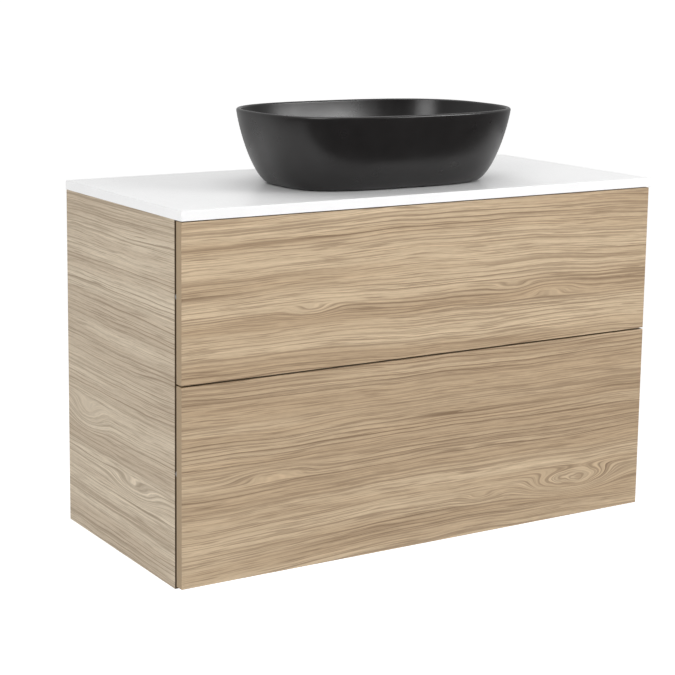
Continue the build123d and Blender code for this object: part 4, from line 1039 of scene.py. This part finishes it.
def below(drop):
    """The level that lies a drop below the top."""
    return add(recipe, MATH, {0: size["Top"], 1: drop}, operation="SUBTRACT")


def straight(start_radius, end_radius, start_drop, end_drop):
    """A skin whose radius and drop change evenly."""
    def shape(along, round_share):
        return between(start_radius, end_radius, along), below(between(start_drop, end_drop, along))
    return shape


lip_radius = halved("Flange Height")


def flange_edge(along, round_share):
    """Half a turn round the flange's rim."""
    turned = add(recipe, MATH, {0: along, 1: math.pi}, operation="MULTIPLY")
    inset, fall = [add(recipe, MATH, {0: turned}, operation=wave) for wave in ("SINE", "COSINE")]
    inset, fall = [add(recipe, MATH, {0: 1.0, 1: v}, operation="SUBTRACT") for v in (inset, fall)]
    inset, fall = [add(recipe, MATH, {0: v, 1: lip_radius}, operation="MULTIPLY") for v in (inset, fall)]
    radius = add(recipe, MATH, {0: size["Flange Radius"], 1: inset}, operation="SUBTRACT")
    return radius, below(fall)


def threaded_tail(along, round_share):
    """The tail's outside, with a groove that moves down by one pitch per turn."""
    drop = between(size["Flange Height"], size["Length"], along)
    turns = add(recipe, MATH, {0: drop, 1: size["Pitch"]}, operation="DIVIDE")
    wound = add(recipe, MATH, {0: turns, 1: round_share}, operation="SUBTRACT")
    groove = add(recipe, MATH, {0: wound, 1: 0.5}, operation="PINGPONG")
    groove = add(recipe, MATH, {0: groove, 1: 2.0}, operation="MULTIPLY")
    fade_in = add(recipe, "ShaderNodeMapRange", {0: along, 1: THREAD_STARTS[0], 2: THREAD_STARTS[1]})
    fade_out = add(recipe, "ShaderNodeMapRange",
                   {0: along, 1: THREAD_ENDS[0], 2: THREAD_ENDS[1], 3: 1.0, 4: 0.0})
    depth = add(recipe, MATH, {0: fade_in, 1: fade_out}, operation="MULTIPLY")
    depth = add(recipe, MATH, {0: depth, 1: size["Thread Depth"]}, operation="MULTIPLY")
    cut = add(recipe, MATH, {0: groove, 1: depth}, operation="MULTIPLY")
    return add(recipe, MATH, {0: size["Tail Radius"], 1: cut}, operation="SUBTRACT"), below(drop)


flange_top_radius = add(recipe, MATH, {0: size["Flange Radius"], 1: lip_radius}, operation="SUBTRACT")
skins = [
    waste_skin(6, straight(size["Bore Radius"], flange_top_radius, 0.0, 0.0)),
    waste_skin(9, flange_edge),
    waste_skin(3, straight(flange_top_radius, size["Tail Radius"], size["Flange Height"],
                           size["Flange Height"])),
    waste_skin(THREAD_ROWS, threaded_tail),
    waste_skin(2, straight(size["Tail Radius"], size["Bore Radius"], size["Length"], size["Length"])),
    waste_skin(12, straight(size["Bore Radius"], size["Bore Radius"], size["Length"], 0.0)),
]
end_closed_skin(recipe, skins, chrome)
print("waste recipe:", len(recipe.nodes), "nodes")

# %% The waste with its guide cross
low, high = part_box("waste_body")
TAIL_RADIUS = 20.6 * MM
BORE_RADIUS = TAIL_RADIUS - 2.6 * MM
waste_middle = (low[1] + high[1]) / 2
sizes = {"Flange Radius": (high[0] - low[0]) / 2, "Flange Height": 3.0 * MM, "Tail Radius": TAIL_RADIUS,
         "Bore Radius": BORE_RADIUS, "Top": high[2], "Length": high[2] - low[2], "Middle": waste_middle,
         "Pitch": 2.31 * MM, "Thread Depth": 0.9 * MM}
waste = run_recipe("threaded_waste", recipe, sizes)


def add_closed_loops(shell, loops):
    """Adds one closed skin that runs from loop to loop and from the last back to the first. Each loop
    is a list of places, and all have the same number of them."""
    loops = [[shell.verts.new(place) for place in loop] for loop in loops]
    count = len(loops[0])
    for first, second in zip(loops, loops[1:] + loops[:1]):
        for i in range(count):
            j = (i + 1) % count
            shell.faces.new((first[i], first[j], second[j], second[i]))


# The guide: a hub round the plug's stem, and four plain ribs from the hub to the bore's wall.
STEM_HOLE = 4.1 * MM  # radius, 0.1 mm wider than the stem
HUB_RADIUS = 7.0 * MM
HUB_STEPS = 40  # points round the hub
EDGE_BREAK = 0.6 * MM
HALF_RIB = 1.25 * MM  # half the thickness of a rib
RIB_INSET = 3 * MM  # from the hub's ends to the rib's
ROOT = 0.5 * MM  # how far a rib's ends run into the hub and the wall
hub_low, hub_high = high[2] - 27 * MM, high[2] - 14 * MM
hub_section = ((STEM_HOLE, hub_low), (HUB_RADIUS - EDGE_BREAK, hub_low), (HUB_RADIUS, hub_low + EDGE_BREAK),
               (HUB_RADIUS, hub_high - EDGE_BREAK), (HUB_RADIUS - EDGE_BREAK, hub_high),
               (STEM_HOLE, hub_high))
ways = [(math.cos(2 * math.pi * i / HUB_STEPS), math.sin(2 * math.pi * i / HUB_STEPS))
        for i in range(HUB_STEPS)]
guide = bmesh.new()
guide.from_mesh(waste.data)
add_closed_loops(guide, [[(radius * x, waste_middle + radius * y, level) for x, y in ways]
                         for radius, level in hub_section])
rib_outline = ((HUB_RADIUS - ROOT, -HALF_RIB), (BORE_RADIUS + ROOT, -HALF_RIB),
               (BORE_RADIUS + ROOT, HALF_RIB), (HUB_RADIUS - ROOT, HALF_RIB))
for quarter in range(4):
    spin = Matrix.Translation((0, waste_middle, 0)) @ Matrix.Rotation(quarter * math.pi / 2, 4, "Z")
    corners = [guide.verts.new(spin @ Vector((x, y, z)))
               for z in (hub_low + RIB_INSET, hub_high - RIB_INSET) for x, y in rib_outline]
    for face in ((0, 1, 2, 3), (4, 5, 6, 7), (0, 1, 5, 4), (1, 2, 6, 5), (2, 3, 7, 6), (3, 0, 4, 7)):
        guide.faces.new([corners[i] for i in face])
guide.to_mesh(waste.data)
guide.free()
open_edges = put_in_place(waste, "waste_body", 35)
print("waste: faces", len(waste.data.polygons), "open edges", open_edges)

# %% [markdown]
# ## The bead under the basin
# The basin is bedded on silicone, and the fitter's finger has drawn the bead's edge slightly hollow. A
# round profile along a curve would miss that, so one small section is carried round the foot's outline,
# which is the same superellipse as the basin's foot. It can't be seen from far, only as the dark line
# where the basin meets the worktop.

# %% The silicone bead
low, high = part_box("basin_seal")
BEAD_POINTS = 160  # points round the outline
BED_WIDTH = 8.0  # millimetres that the silicone reaches in under the foot
# The section of the bead: millimetres inwards from the outline, and share of the bead's height.
BEAD_SECTION = ((0.0, 0.0), (0.35, 0.35), (0.45, 0.75), (0.2, 1.0), (BED_WIDTH, 1.0), (BED_WIDTH, 0.0))
bead_half = ((high[0] - low[0]) / 2, (high[1] - low[1]) / 2)
bead_middle = (low[1] + high[1]) / 2
bead_height = high[2] - low[2]
loops = []
for inset, height in BEAD_SECTION:
    loop = []
    for i in range(BEAD_POINTS):
        angle = 2 * math.pi * i / BEAD_POINTS
        wave = [math.copysign(abs(v) ** (2 / FOOT_ROUNDNESS), v) for v in (math.cos(angle), math.sin(angle))]
        x, y = ((half - inset * MM) * w for half, w in zip(bead_half, wave))
        loop.append((x, bead_middle + y, low[2] + height * bead_height))
    loops.append(loop)
bead = bmesh.new()
add_closed_loops(bead, loops)
mesh = bpy.data.meshes.new("silicone_bead")
bead.to_mesh(mesh)
bead.free()
mesh.materials.append(silicone)
open_edges = put_in_place(new_object("silicone_bead", mesh), "basin_seal", 50)
print("bead round", round(bead_half[0] * 2 / MM), "x", round(bead_half[1] * 2 / MM), "mm, open edges",
      open_edges)

# %% Record the sizes and finish
size = {"cad_box": [list(v) for v in cad_box], "visual_box": [list(v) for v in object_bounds()]}
